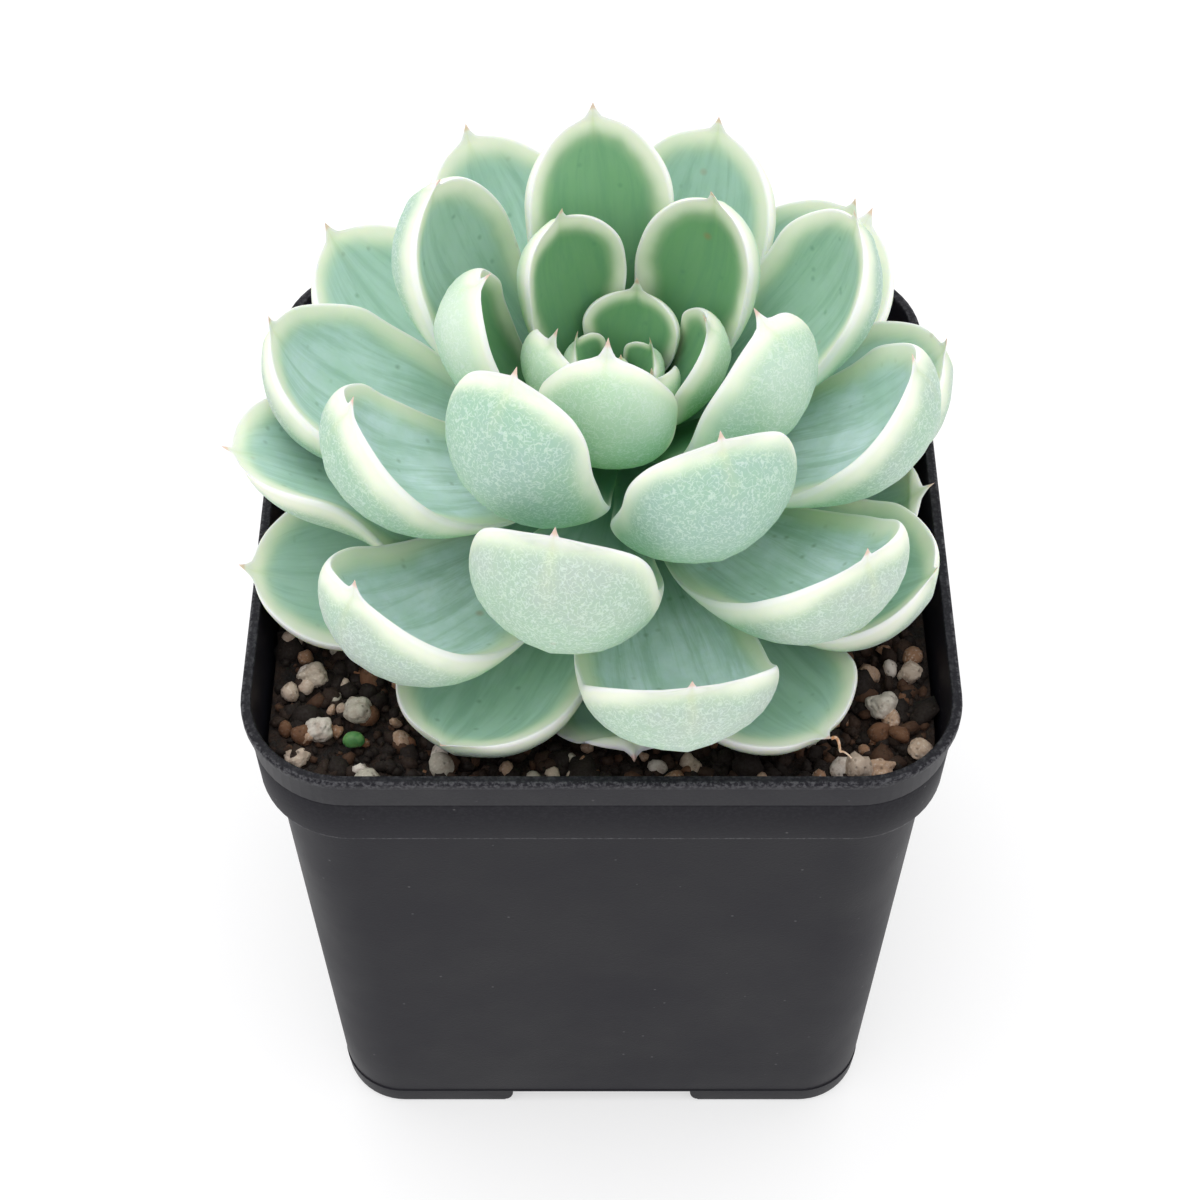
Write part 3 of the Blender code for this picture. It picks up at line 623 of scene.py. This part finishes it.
def grit_material():
    """Pumice, bark and clay grains: the layer tint picks cream, tan, orange brown, grey green or dark."""
    material, net, shader = new_material("pumice grains")
    place = net.place()
    tint = net.layer("tint")
    ramp = net.add("ValToRGB", Fac=tint)
    stops = ((0.0, (0.014, 0.0075, 0.005)), (0.28, (0.05, 0.023, 0.012)), (0.42, (0.25, 0.11, 0.05)),
             (0.56, (0.48, 0.29, 0.18)), (0.7, (0.62, 0.48, 0.38)), (0.85, (0.50, 0.46, 0.38)),
             (1.0, (0.80, 0.72, 0.65)))
    ramp.color_ramp.elements.remove(ramp.color_ramp.elements[1])
    for k, (at, colour) in enumerate(stops):
        stop = ramp.color_ramp.elements[0] if k == 0 else ramp.color_ramp.elements.new(at)
        stop.position = at
        stop.color = (*colour, 1.0)
    coarse = net.noise(place, 700.0, 4.0, 0.65)
    fine = net.noise(place, 2600.0, 3.0, 0.7)
    stony = net.step(tint, 0.3, 0.5)
    stain = net.times(stony, net.step(coarse, 0.44, 0.72, 0.0, 0.5))
    base = net.mix(stain, ramp.outputs["Color"], (0.26, 0.14, 0.08))
    chalk = net.times(stony, net.step(fine, 0.5, 0.72, 0.0, 0.5))
    base = net.mix(chalk, base, (0.86, 0.79, 0.72))
    pits = specks(net, place, 1500.0, 0.4, 0.35)
    base = net.mix(net.times(pits, 0.6), base, (0.05, 0.03, 0.02))
    height = net.math("SUBTRACT", net.math("ADD", coarse, net.times(fine, 0.5)), pits)
    dress(net, shader, base, net.step(fine, 0.3, 0.7, 0.7, 0.95), height, 0.7, 0.0002)
    return material


def stem_material():
    """Green brown bark with paler leaf scars as bands round the stem."""
    material, net, shader = new_material("stem bark")
    place = net.place()
    split = net.add("SeparateXYZ", Vector=place)
    rings = net.math("SINE", net.times(split.outputs["Z"], 2600.0))
    cloud = net.noise(place, 600.0, 4.0, 0.6)
    base = net.mix(net.step(cloud, 0.3, 0.7), (0.16, 0.20, 0.07), (0.30, 0.30, 0.13))
    base = net.mix(net.step(rings, 0.3, 1.0, 0.0, 0.5), base, (0.34, 0.26, 0.15))
    height = net.math("ADD", rings, cloud)
    dress(net, shader, base, net.step(cloud, 0.3, 0.7, 0.6, 0.85), height, 0.5, 0.0003)
    return material


def seedling_material():
    """The small offset: bright green above, brown and dry below."""
    material, net, shader = new_material("small offset")
    place = net.place()
    cloud = net.noise(place, 900.0, 3.0, 0.6)
    top = net.layer("top")
    base = net.mix(net.step(cloud, 0.3, 0.7), (0.06, 0.22, 0.06), (0.16, 0.38, 0.12))
    base = net.mix(net.step(top, 0.15, 0.45, 1.0, 0.0), base, (0.30, 0.15, 0.06))
    dress(net, shader, base, net.step(cloud, 0.3, 0.7, 0.4, 0.6), cloud, 0.3, 0.0002,
          Subsurface_Weight=0.3, Subsurface_Scale=0.001)
    return material


def thread_material():
    """Dry flower thread: orange brown where it leaves the leaf, paler towards its end."""
    material, net, shader = new_material("dry thread")
    cloud = net.noise(net.place(), 2000.0, 2.0)
    base = net.mix(net.layer("along"), (0.40, 0.16, 0.05), (0.62, 0.45, 0.32))
    base = net.mix(net.step(cloud, 0.4, 0.6, 0.0, 0.5), base, (0.75, 0.62, 0.5))
    net.put(shader.inputs["Base Color"], base)
    net.put(shader.inputs["Roughness"], net.step(cloud, 0.3, 0.7, 0.5, 0.8))
    return material


LEAF = leaf_material()
POT = pot_material()
SOIL = soil_material()
GRIT = grit_material()


# ---- leaves
def edge_distance(across_mm, along_mm, outline_x, outline_y):
    """Least distance, in the leaf's flat shape, to its outline on both sides."""
    away_y = along_mm.reshape(-1, 1) - outline_y
    place = across_mm.reshape(-1, 1)
    least = np.minimum((place - outline_x) ** 2, (place + outline_x) ** 2)
    return np.sqrt((least + away_y ** 2).min(axis=1)).reshape(across_mm.shape)


def build_leaf(n):
    """One leaf: the grown outline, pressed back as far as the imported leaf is."""
    node = "leaf_%02d" % n
    fact = leaf_facts(n)
    t = np.linspace(0.0, 1.0, LEAF_STATIONS)
    length = midrib(fact)[4]
    fact["length"] = length
    tip = POINT_LENGTH / length
    along = np.concatenate([(1.0 - 1.5 * tip) * (1.0 - (1.0 - t) ** 1.35), 1.0 - tip * NEAR_TIP])
    turn = np.arange(LEAF_AROUND) / LEAF_AROUND * 2.0 * np.pi
    around = turn - 0.32 * np.sin(2.0 * turn)
    rings, face, x, y = leaf_surface(fact, along, around, grown_outline, detail=1.0)
    sink = curve_through(CAD_STATIONS, pressed_back(fact, node), np.clip(along, 0.0, CAD_STATIONS[-1]))
    column = np.abs((around + np.pi) % (2.0 * np.pi) - np.pi) / np.pi * (CAD_AROUND // 2)
    sink = soften(curve_through(np.arange(CAD_AROUND // 2 + 1), sink.T, column).T, SOFTENING)
    rings = rings - sink[..., None] * face[:, None, :]
    before, last = rings[-3].mean(axis=0), rings[-1].mean(axis=0)
    tip_point = last + (last - before) * NEAR_TIP[-1] / (NEAR_TIP[-3] - NEAR_TIP[-1])
    points = np.concatenate([rings.reshape(-1, 3), rings[:1].mean(axis=1), tip_point[None]]) * MM + ROSETTE
    points = np.clip(points, CAD_BOX[0], CAD_BOX[1])

    line = np.linspace(0.02, 1.0, 260)
    half = grown_outline(fact, (1.0 - line) / tip)
    edge = edge_distance(x, np.broadcast_to(y[:, None], x.shape), half, line * length)
    here = np.broadcast_to(along[:, None], x.shape)
    widest = np.maximum(np.abs(x).max(axis=1, keepdims=True), 0.3)
    layers = {
        "edge": edge / min(1.0, (fact["width"] / 20.0) ** 1.5),
        "along": here,
        "across": x / widest,
        "top": np.clip(0.5 + 3.0 * np.broadcast_to(np.sin(around), x.shape), 0.0, 1.0),
        "age": np.full(x.shape, n / AGE[-1]),
        "point": smooth((here - (1.0 - 0.6 * tip)) / (0.5 * tip)),
    }
    ends = {"edge": (0, 0), "along": (0, 1), "across": (0, 0), "top": (0.5, 0.5),
            "age": (n / AGE[-1], n / AGE[-1]), "point": (0, 1)}
    layers = {key: np.concatenate([v.ravel(), ends[key]]) for key, v in layers.items()}
    leaf = mesh_object("fine_" + node, points, ring_faces(len(along), LEAF_AROUND), LEAF, layers)
    return finish_piece(leaf, "young_leaf" if n < FIRST_OLD else "old_leaf", node)


def build_bud():
    """The youngest leaves: a pointed bud whose radius follows a sine, with three swirled ridges."""
    (x0, y0, z0), (x1, y1, z1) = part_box("bud")
    t = np.linspace(0.0, 1.0, 40)[:, None]
    a = (np.arange(36) / 36 * 2.0 * np.pi)[None, :]
    radius = 0.5 + 1.35 * np.sin(np.pi * np.minimum(t * 1.15, 1.0)) ** 0.8 * (1.0 - 0.3 * t)
    radius = radius * (1.0 - smooth((t - 0.84) / 0.16)) + 0.06
    radius = radius * (1.0 + 0.12 * np.cos(3.0 * (a - 1.2 * t)) ** 3)
    middle = np.array([(x0 + x1) / 2.0, (y0 + y1) / 2.0])
    rings = np.stack([middle[0] + radius * MM * np.cos(a), middle[1] + radius * MM * np.sin(a),
                      np.broadcast_to(z0 + (z1 - z0) * t, radius.shape)], axis=-1)
    points = np.concatenate([rings.reshape(-1, 3), rings[:1].mean(axis=1), rings[-1:].mean(axis=1)])
    share = np.broadcast_to(t, radius.shape)
    layers = {"edge": 1.0 + 3.0 * np.abs(np.cos(1.5 * (a - 1.2 * t))) * (1.0 - share), "along": share,
              "across": np.full(share.shape, 0.5), "top": np.zeros(share.shape),
              "age": np.full(share.shape, 0.08), "point": smooth((share - 0.9) / 0.1)}
    layers = {key: np.append(v.ravel(), [v.ravel()[0], v.ravel()[-1]]) for key, v in layers.items()}
    bud = mesh_object("fine_bud", points, ring_faces(40, 36), LEAF, layers)
    return finish_piece(bud, "young_leaf", "bud")


def build_thread():
    """A dry flower thread that lies over the soil from the tip of one of the lowest leaves."""
    start = np.array([v.co for v in bpy.data.objects["fine_leaf_41"].data.vertices])[-1]
    t = np.linspace(0.0, 1.0, 26)[:, None]
    path = start + MM * np.concatenate([2.3 * t + 0.3 * np.sin(7.0 * t), -2.1 * t + 0.4 * np.sin(9.0 * t),
                                        -1.3 * t ** 1.5 + 0.15 * np.sin(12.0 * t)], axis=1)
    ahead = np.gradient(path, axis=0)
    ahead /= np.linalg.norm(ahead, axis=1, keepdims=True)
    side = np.cross(ahead, [0.0, 0.0, 1.0])
    side /= np.linalg.norm(side, axis=1, keepdims=True)
    up = np.cross(side, ahead)
    radius = (0.22 - 0.13 * t) * MM
    a = np.arange(8) / 8 * 2.0 * np.pi
    rings = (path[:, None, :] + radius[:, None, :] * (np.cos(a)[None, :, None] * side[:, None, :]
                                                       + np.sin(a)[None, :, None] * up[:, None, :]))
    points = np.concatenate([rings.reshape(-1, 3), path[:1], path[-1:]])
    layers = {"along": np.append(np.broadcast_to(t, (26, 8)).ravel(), [0.0, 1.0])}
    thread = mesh_object("dry_thread", points, ring_faces(26, 8, flip=True), thread_material(), layers)
    return finish_piece(thread, "stem")


# ---- pot
HALF = POT_WIDTH / 2.0
COLLAR_HALF = HALF - LIP_OUT
BODY_TOP_HALF = COLLAR_HALF - COLLAR_DRAFT - COLLAR_STEP
BASE_HALF = BASE_WIDTH / 2.0
STEP_HEIGHT = POT_HEIGHT - COLLAR_HEIGHT


def body_half(height):
    """Half width of the tapered body at a height."""
    return BASE_HALF + (BODY_TOP_HALF - BASE_HALF) * height / STEP_HEIGHT


def body_corner(height):
    """Outer corner radius of the tapered body at a height."""
    return BASE_CORNER + (RIM_CORNER - 2.4 * MM - BASE_CORNER) * height / STEP_HEIGHT


def rounded_square(half, corner, height, per_corner=14, per_side=6):
    """Points of a square with round corners, counter-clockwise from above, about the pot's middle."""
    ring = []
    for k in range(4):
        sx, sy = (1 if k in (0, 3) else -1), (1 if k in (0, 1) else -1)
        a = math.pi / 2 * (k + np.arange(per_corner + 1) / per_corner)
        ring.append(np.stack([sx * (half - corner) + corner * np.cos(a),
                              sy * (half - corner) + corner * np.sin(a)], axis=1))
    full = []
    for k in range(4):
        full.append(ring[k])
        step = (np.arange(1, per_side) / per_side)[:, None]
        full.append(ring[k][-1] + (ring[(k + 1) % 4][0] - ring[k][-1]) * step)
    flat = np.concatenate(full)
    return np.concatenate([flat, np.full((len(flat), 1), height)], axis=1) + POT_MIDDLE


def arc_steps(start, end, centre, steps):
    """Points of a quarter round from start to end, both given as (half width, height)."""
    start, end, centre = (np.array(p, float) for p in (start, end, centre))
    t = np.linspace(0.0, math.pi / 2, steps + 1)[:, None]
    return centre + (start - centre) * np.cos(t) + (end - centre) * np.sin(t)


def pot_profile():
    """The wall's section as rows of height, half width, corner radius and wear, from the underside
    outwards, up the body, the collar and the lip, over the rim, and down the inside to the floor.
    The wear is paler scuffs together with a painted highlight, highest on the rounded lip and collar edges."""
    top, step = POT_HEIGHT, STEP_HEIGHT
    low, lip = 0.8 * MM, 0.35 * MM
    collar = COLLAR_HALF - COLLAR_DRAFT
    rows = []

    def add(half, height, corner, wear=0.0):
        rows.append((height, half, corner, wear))

    for half, height in arc_steps((BASE_HALF - low, 0.0), (body_half(low), low), (BASE_HALF - low, low), 4):
        add(half, height, BASE_CORNER - (body_half(low) - half))
    foot = FOOT_HEIGHT + 0.3 * MM
    for height, inset in ((foot - 0.12 * MM, 0.0), (foot, 0.14 * MM), (foot + 0.25 * MM, 0.14 * MM)):
        add(body_half(height) - inset + 0.07 * MM, height, body_corner(height))
    for height in np.linspace(foot + 1.5 * MM, step - 1.2 * MM, 12):
        add(body_half(height), height, body_corner(height))
    under = 0.55 * MM
    add(BODY_TOP_HALF, step - 0.5 * MM, body_corner(step))
    add(BODY_TOP_HALF + 0.25 * MM, step - 0.08 * MM, body_corner(step))
    add(collar - 0.5 * MM, step, RIM_CORNER - 1.5 * MM)
    # The collar's rounded lower edge: scuffs and a painted highlight.
    for half, height in arc_steps((collar - 0.3 * MM, step), (collar, step + 0.3 * MM),
                                  (collar - 0.3 * MM, step + 0.3 * MM), 4):
        add(half, height, RIM_CORNER - MM - (collar - half), 0.9)
    add(collar + 0.01 * MM, step + under, RIM_CORNER - MM, 0.0)
    seam = top - 0.42 * COLLAR_HEIGHT
    for height, inset in ((seam - 0.2 * MM, 0.0), (seam, 0.12 * MM), (seam + 0.2 * MM, -0.05 * MM)):
        add(collar + COLLAR_DRAFT * 0.6 - inset, height, RIM_CORNER - 0.8 * MM, 0.1)
    add(COLLAR_HALF, top - LIP_HEIGHT - 0.35 * MM, RIM_CORNER - LIP_OUT)
    add(COLLAR_HALF + 0.1 * MM, top - LIP_HEIGHT - 0.12 * MM, RIM_CORNER - LIP_OUT)
    add(HALF - 0.15 * MM, top - LIP_HEIGHT, RIM_CORNER - 0.15 * MM, 0.1)
    add(HALF, top - LIP_HEIGHT + 0.15 * MM, RIM_CORNER, 0.2)
    # The rounded outer edge of the lip: the strongest scuffs and painted highlight.
    for half, height in arc_steps((HALF, top - lip), (HALF - lip, top), (HALF - lip, top - lip), 5):
        add(half, height, RIM_CORNER - (HALF - half), 1.0)
    add(HALF - lip - 0.2 * MM, top, RIM_CORNER - lip - 0.2 * MM, 0.15)
    inner = HALF - WALL
    for half, height in arc_steps((inner + 0.15 * MM, top), (inner, top - 0.15 * MM),
                                  (inner + 0.15 * MM, top - 0.15 * MM), 3):
        add(half, height, RIM_CORNER - WALL, 0.5)
    add(inner - 0.1 * MM, top - 0.5 * MM, RIM_CORNER - WALL, 0.0)
    add(collar - WALL, step + 0.2 * MM, RIM_CORNER - WALL - MM)
    add(BODY_TOP_HALF - WALL, step - 1.6 * MM, body_corner(step) - WALL)
    floor = FOOT_HEIGHT + FLOOR
    add(body_half(floor) - WALL, floor, BASE_CORNER - WALL)
    return rows


def cutter(name, points, faces):
    """A hidden shape to be cut out of the pot."""
    obj = mesh_object(name, points, faces, POT)
    obj.hide_render = True
    return obj


def capped(rings):
    """Walls between rings of equal count, with a flat face over the first and the last."""
    count, around = len(rings), len(rings[0])
    faces = wall_faces(count, around)
    faces.append(list(range(around))[::-1])
    faces.append(list(range((count - 1) * around, count * around)))
    return np.concatenate(rings), faces


def build_pot():
    """The wall as stacked rounded squares, with the well, the notches between the feet and the drain
    holes cut out of the underside."""
    rows = pot_profile()
    rings = [rounded_square(half, corner, height) for height, half, corner, _ in rows]
    points, faces = capped(rings)
    wear = np.repeat([row[3] for row in rows], len(rings[0]))
    pot = mesh_object("fine_pot", points, faces, POT, {"wear": wear})

    tools = []
    inside = BASE_HALF - FOOT_WIDTH
    corner = BASE_CORNER - FOOT_WIDTH + 1.5 * MM
    tools.append(cutter("well", *capped([rounded_square(inside, corner, -2 * MM),
                                         rounded_square(inside - 0.3 * MM, corner, FOOT_HEIGHT)])))
    half, bevel = NOTCH_LENGTH / 2, 1.2 * MM
    bend = arc_steps((half + bevel, 0.8 * MM), (half, FOOT_HEIGHT), (half + bevel, FOOT_HEIGHT), 6)
    right = np.concatenate([[(half + 2.2 * MM, -2 * MM)], bend])
    section = np.concatenate([right, right[::-1] * [-1, 1]])
    for name, swap in (("notch_y", False), ("notch_x", True)):
        ends = []
        for y in (-POT_WIDTH, POT_WIDTH):
            ends.append(np.stack([section[:, 0], np.full(len(section), y), section[:, 1]], axis=1))
        if swap:
            ends = [e[:, [1, 0, 2]] * [-1, 1, 1] for e in ends]
        shape, sides = capped([e + POT_MIDDLE for e in ends])
        tools.append(cutter(name, shape, [f[::-1] for f in sides]))
    a = np.arange(32) / 32 * 2.0 * np.pi
    hole = DRAIN_RADIUS * np.stack([np.cos(a), np.sin(a), np.zeros(32)], axis=1) + POT_MIDDLE
    for k, (x, y) in enumerate(((-1, -1), (1, -1), (1, 1), (-1, 1), (0, 0))):
        disc = hole + [x * DRAIN_SPREAD, y * DRAIN_SPREAD, 0.0]
        tools.append(cutter("drain_%d" % k, *capped([disc, disc + [0, 0, 3 * FOOT_HEIGHT]])))
    for tool in tools:
        cut = pot.modifiers.new("cut " + tool.name, "BOOLEAN")
        cut.operation = "DIFFERENCE"
        cut.solver = "EXACT"
        cut.object = tool
    bpy.context.view_layer.update()
    done = bpy.data.meshes.new_from_object(pot.evaluated_get(bpy.context.evaluated_depsgraph_get()))
    pot.modifiers.clear()
    pot.data = done
    for tool in tools:
        bpy.data.objects.remove(tool)
    done.shade_smooth()
    done.set_sharp_from_angle(angle=math.radians(50.0))
    return finish_piece(pot, "pot", "pot")


# ---- soil, grit and stones
def hills(x, y, seed, size, layers=4):
    """Rolling noise from sums of sine waves in turned directions, each layer finer and lower."""
    rng = np.random.RandomState(seed)
    total = np.zeros_like(x)
    for k in range(layers):
        for _ in range(5):
            turn, shift = rng.uniform(0, 2 * np.pi, 2)
            pitch = 2 * np.pi / (size / 1.9 ** k * rng.uniform(0.7, 1.4))
            total += np.sin((x * np.cos(turn) + y * np.sin(turn)) * pitch + shift) / 1.7 ** k / 5.0
    return total


SOIL_HALF = COLLAR_HALF - COLLAR_DRAFT - WALL - SOIL_GAP
SOIL_CORNER = RIM_CORNER - WALL - 1.3 * MM
SOIL_SIDES = 4  # rings up the soil's side, below its top
SOIL_SPLIT = 4  # points for each one of a ring


def soil_height(x, y):
    """Height above the packed soil's top: lumpy, and piled up a little at the walls."""
    bank = smooth((np.maximum(np.abs(x), np.abs(y)) - 30 * MM) / (13 * MM)) * 1.5 * MM
    return bank + 0.35 * MM * hills(x, y, 3, 9 * MM) + 0.25 * MM * hills(x, y, 4, 2.6 * MM)


def build_soil():
    """Nested rounded squares from the foot of the soil up the sides, then inwards over the lumpy top."""
    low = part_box("soil")[0][2]
    sizes = [(body_half(height) - WALL - SOIL_GAP, SOIL_CORNER, height)
             for height in np.linspace(low, STEP_HEIGHT - 1.9 * MM, SOIL_SIDES)]
    sizes += [(SOIL_HALF * share, SOIL_CORNER * share, SOIL_TOP)
              for share in np.concatenate([[1.0], np.linspace(0.995, 0.02, 96)])]
    fine = []
    for k, size in enumerate(sizes):
        ring = rounded_square(*size, per_corner=24, per_side=1)
        side = np.roll(ring, -1, axis=0) - ring
        parts = [ring + side * part / SOIL_SPLIT for part in range(SOIL_SPLIT)]
        ring = np.stack(parts, axis=1).reshape(-1, 3)
        if k >= SOIL_SIDES:
            ring[:, 2] += soil_height(ring[:, 0] - POT_MIDDLE[0], ring[:, 1] - POT_MIDDLE[1])
        fine.append(ring)
    rings = np.array(fine)
    points = np.concatenate([rings.reshape(-1, 3), rings[:1].mean(axis=1), rings[-1:].mean(axis=1)])
    soil = mesh_object("fine_soil", points, ring_faces(len(rings), len(rings[0])), SOIL)
    return finish_piece(soil, "soil", "soil")


def ball(split):
    """Points and faces of a unit icosphere."""
    mesh = bmesh.new()
    bmesh.ops.create_icosphere(mesh, subdivisions=split, radius=1.0)
    points = np.array([v.co[:] for v in mesh.verts])
    faces = np.array([[v.index for v in f.verts] for f in mesh.faces])
    mesh.free()
    return points, faces


def inside_soil(rng, count, margin):
    """Random places on the soil, from the pot's middle, kept off the walls and out of the corners."""
    half, corner = SOIL_HALF - margin, SOIL_CORNER
    x, y = rng.uniform(-half, half, (2, count))
    beyond_x = np.maximum(np.abs(x) - (half - corner), 0.0)
    beyond_y = np.maximum(np.abs(y) - (half - corner), 0.0)
    keep = np.hypot(beyond_x, beyond_y) < corner
    return x[keep], y[keep]


def lumps(rng, split, x, y, size, squash, rough, sink):
    """Many irregular grains as one set of points: each a ball stretched along three turned axes and
    dented by two waves, standing on the soil and sunk into it by a share of its size."""
    ball_points, ball_faces = ball(split)
    count = len(x)
    stretch = rng.uniform(1.0 - squash, 1.0 + squash, (count, 1, 3))
    waves = rng.normal(0.0, 1.9, (count, 3, 2))
    shift = rng.uniform(0, 2 * np.pi, (count, 1, 2))
    dents = np.sin(ball_points[None] @ waves + shift).mean(axis=2) * rough
    body = ball_points[None] * (1.0 + dents[..., None]) * stretch * (size / 2.0)[:, None, None]
    turn, _ = np.linalg.qr(rng.normal(0.0, 1.0, (count, 3, 3)))
    turn = turn * np.sign(np.linalg.det(turn))[:, None, None]
    body = body @ turn
    base = np.stack([x, y, SOIL_TOP + soil_height(x, y) + size * (0.5 - sink)], axis=1)
    points = body + base[:, None, :] + POT_MIDDLE
    faces = ball_faces[None] + (np.arange(count) * len(ball_points))[:, None, None]
    return points.reshape(-1, 3), faces.reshape(-1, 3), len(ball_points)


CRUMBS = 5200  # tried, before those beyond the round corners are left out
GRAINS = 330


def build_crumbs():
    """Peat crumbs, and slivers of bark among them."""
    rng = np.random.RandomState(21)
    x, y = inside_soil(rng, CRUMBS, 0.8 * MM)
    size = rng.gamma(5.0, 0.26, len(x)) * MM + 0.3 * MM
    points, faces, each = lumps(rng, 1, x, y, size, 0.4, 0.35, 0.35)
    tint = np.repeat(rng.choice([0.0, 0.1, 0.2, 0.3, 0.42], len(x), p=[0.5, 0.25, 0.14, 0.08, 0.03]), each)
    crumbs = mesh_object("soil_crumbs", points, faces.tolist(), GRIT, {"tint": tint})
    return finish_piece(crumbs, "soil")


def build_grit():
    """Small pumice and clay grains, most of them cream, tan or orange brown."""
    rng = np.random.RandomState(34)
    x, y = inside_soil(rng, GRAINS, 1.6 * MM)
    size = rng.gamma(7.0, 0.25, len(x)) * MM + 0.5 * MM
    points, faces, each = lumps(rng, 2, x, y, size, 0.22, 0.3, 0.12)
    tint = rng.choice([0.36, 0.48, 0.6, 0.72, 0.86, 1.0], len(x), p=[0.16, 0.2, 0.22, 0.2, 0.1, 0.12])
    tint = np.repeat(tint, each)
    grit = mesh_object("pumice_grit", points, faces.tolist(), GRIT, {"tint": tint})
    return finish_piece(grit, "pumice")


STONE_TINTS = {"stone_a": 0.78, "stone_b": 0.86, "stone_c": 0.95, "stone_d": 0.72,
               "stone_e": 0.92, "stone_f": 0.66, "stone_g": 0.74, "stone_h": 0.6}


def build_stone(node, tint, seed):
    """One larger grain in its packed place: a ball with broad dents, small knobs and pits."""
    low, high = (np.array(c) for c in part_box(node))
    points, faces = ball(5)
    rng = np.random.RandomState(seed)
    swell = np.zeros(len(points))
    for count, pitch, depth in ((5, 2.2, 0.16), (7, 5.0, 0.07), (9, 11.0, 0.03)):
        waves = rng.normal(0.0, pitch, (3, count))
        swell += np.sin(points @ waves + rng.uniform(0, 6.28, count)).mean(axis=1) * depth * 2.0
    points = points * (0.93 + swell)[:, None]
    points = points / np.abs(points).max(axis=0) * (high - low) / 2.0 + (high + low) / 2.0
    stone = mesh_object("fine_" + node, points, faces.tolist(), GRIT, {"tint": np.full(len(points), tint)})
    return finish_piece(stone, "pumice", node)


def build_offset():
    """The small offset: a notched green cushion on a dry brown foot."""
    low, high = (np.array(c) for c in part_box("offset_bud"))
    points, faces = ball(4)
    angle = np.arctan2(points[:, 1], points[:, 0])
    notch = 1.0 - 0.22 * np.exp(-((angle + 1.4) / 0.5) ** 2) * np.hypot(points[:, 0], points[:, 1])
    foot = 1.0 - 0.45 * smooth(-points[:, 2])
    shaped = points * np.stack([notch * foot, notch * foot, np.ones(len(points))], axis=1)
    placed = shaped / np.abs(shaped).max(axis=0) * (high - low) / 2.0 + (high + low) / 2.0
    bud = mesh_object("fine_offset_bud", placed, faces.tolist(), seedling_material(),
                      {"top": (points[:, 2] + 1.0) / 2.0})
    return finish_piece(bud, "young_leaf", "offset_bud")


# ---- the room
def build_stage():
    """A wide pale floor."""
    size = 2.0
    floor = mesh_object("floor", [(-size, -size, 0), (size, -size, 0), (size, size, 0), (-size, size, 0)],
                        [(0, 1, 2, 3)], floor_material())


def floor_material():
    """White floor that glows a little, so that it nearly meets the surroundings."""
    material, net, shader = new_material("studio floor")
    cloud = net.noise(net.place(), 3.0, 2.0)
    net.put(shader.inputs["Base Color"], net.mix(cloud, (0.50, 0.50, 0.505), (0.52, 0.52, 0.525)))
    shader.inputs["Emission Color"].default_value = (1.0, 1.0, 1.0, 1.0)
    shader.inputs["Emission Strength"].default_value = 0.54
    shader.inputs["Roughness"].default_value = 0.85
    shader.inputs["Specular IOR Level"].default_value = 0.1
    return material


def build_room():
    """Even white surroundings, one large soft light above, and the camera."""
    world = bpy.data.worlds.new("studio")
    world.use_nodes = True
    world.node_tree.nodes["Background"].inputs["Color"].default_value = (1.0, 1.0, 1.0, 1.0)
    world.node_tree.nodes["Background"].inputs["Strength"].default_value = 0.95
    scene = bpy.context.scene
    scene.world = world
    scene.view_settings.view_transform = "Standard"
    lamp = bpy.data.lights.new("top light", "AREA")
    lamp.shape = "SQUARE"
    lamp.size = 1.1
    lamp.energy = 5.0
    light = bpy.data.objects.new("top light", lamp)
    light.location = (-0.12, 0.1, 1.2)
    away = np.array(light.location) - POT_MIDDLE - [0.0, 0.0, 0.08]
    light.rotation_euler = (math.atan2(math.hypot(away[0], away[1]), away[2]), 0.0,
                            math.atan2(away[0], -away[1]))
    scene.collection.objects.link(light)

    camera = bpy.data.objects.new("camera", bpy.data.cameras.new("camera"))
    camera.data.lens = 72.28
    camera.data.sensor_width = 36.0
    camera.data.shift_x = -0.00125
    camera.data.clip_start = 0.01
    camera.location = POT_MIDDLE + [0.0, -0.2075, 0.3395]
    camera.rotation_euler = (math.radians(38.1), 0.0, 0.0)
    scene.collection.objects.link(camera)
    scene.camera = camera


# ---- everything
build_pot()
build_soil()
build_crumbs()
build_grit()
for seed, (node, tint) in enumerate(STONE_TINTS.items()):
    build_stone(node, tint, 50 + seed)
build_offset()
for number in range(FIRST_LEAF, LAST_LEAF + 1):
    build_leaf(number)
build_bud()
build_thread()
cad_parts["stem"].data.materials.clear()
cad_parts["stem"].data.materials.append(stem_material())
build_stage()
build_room()
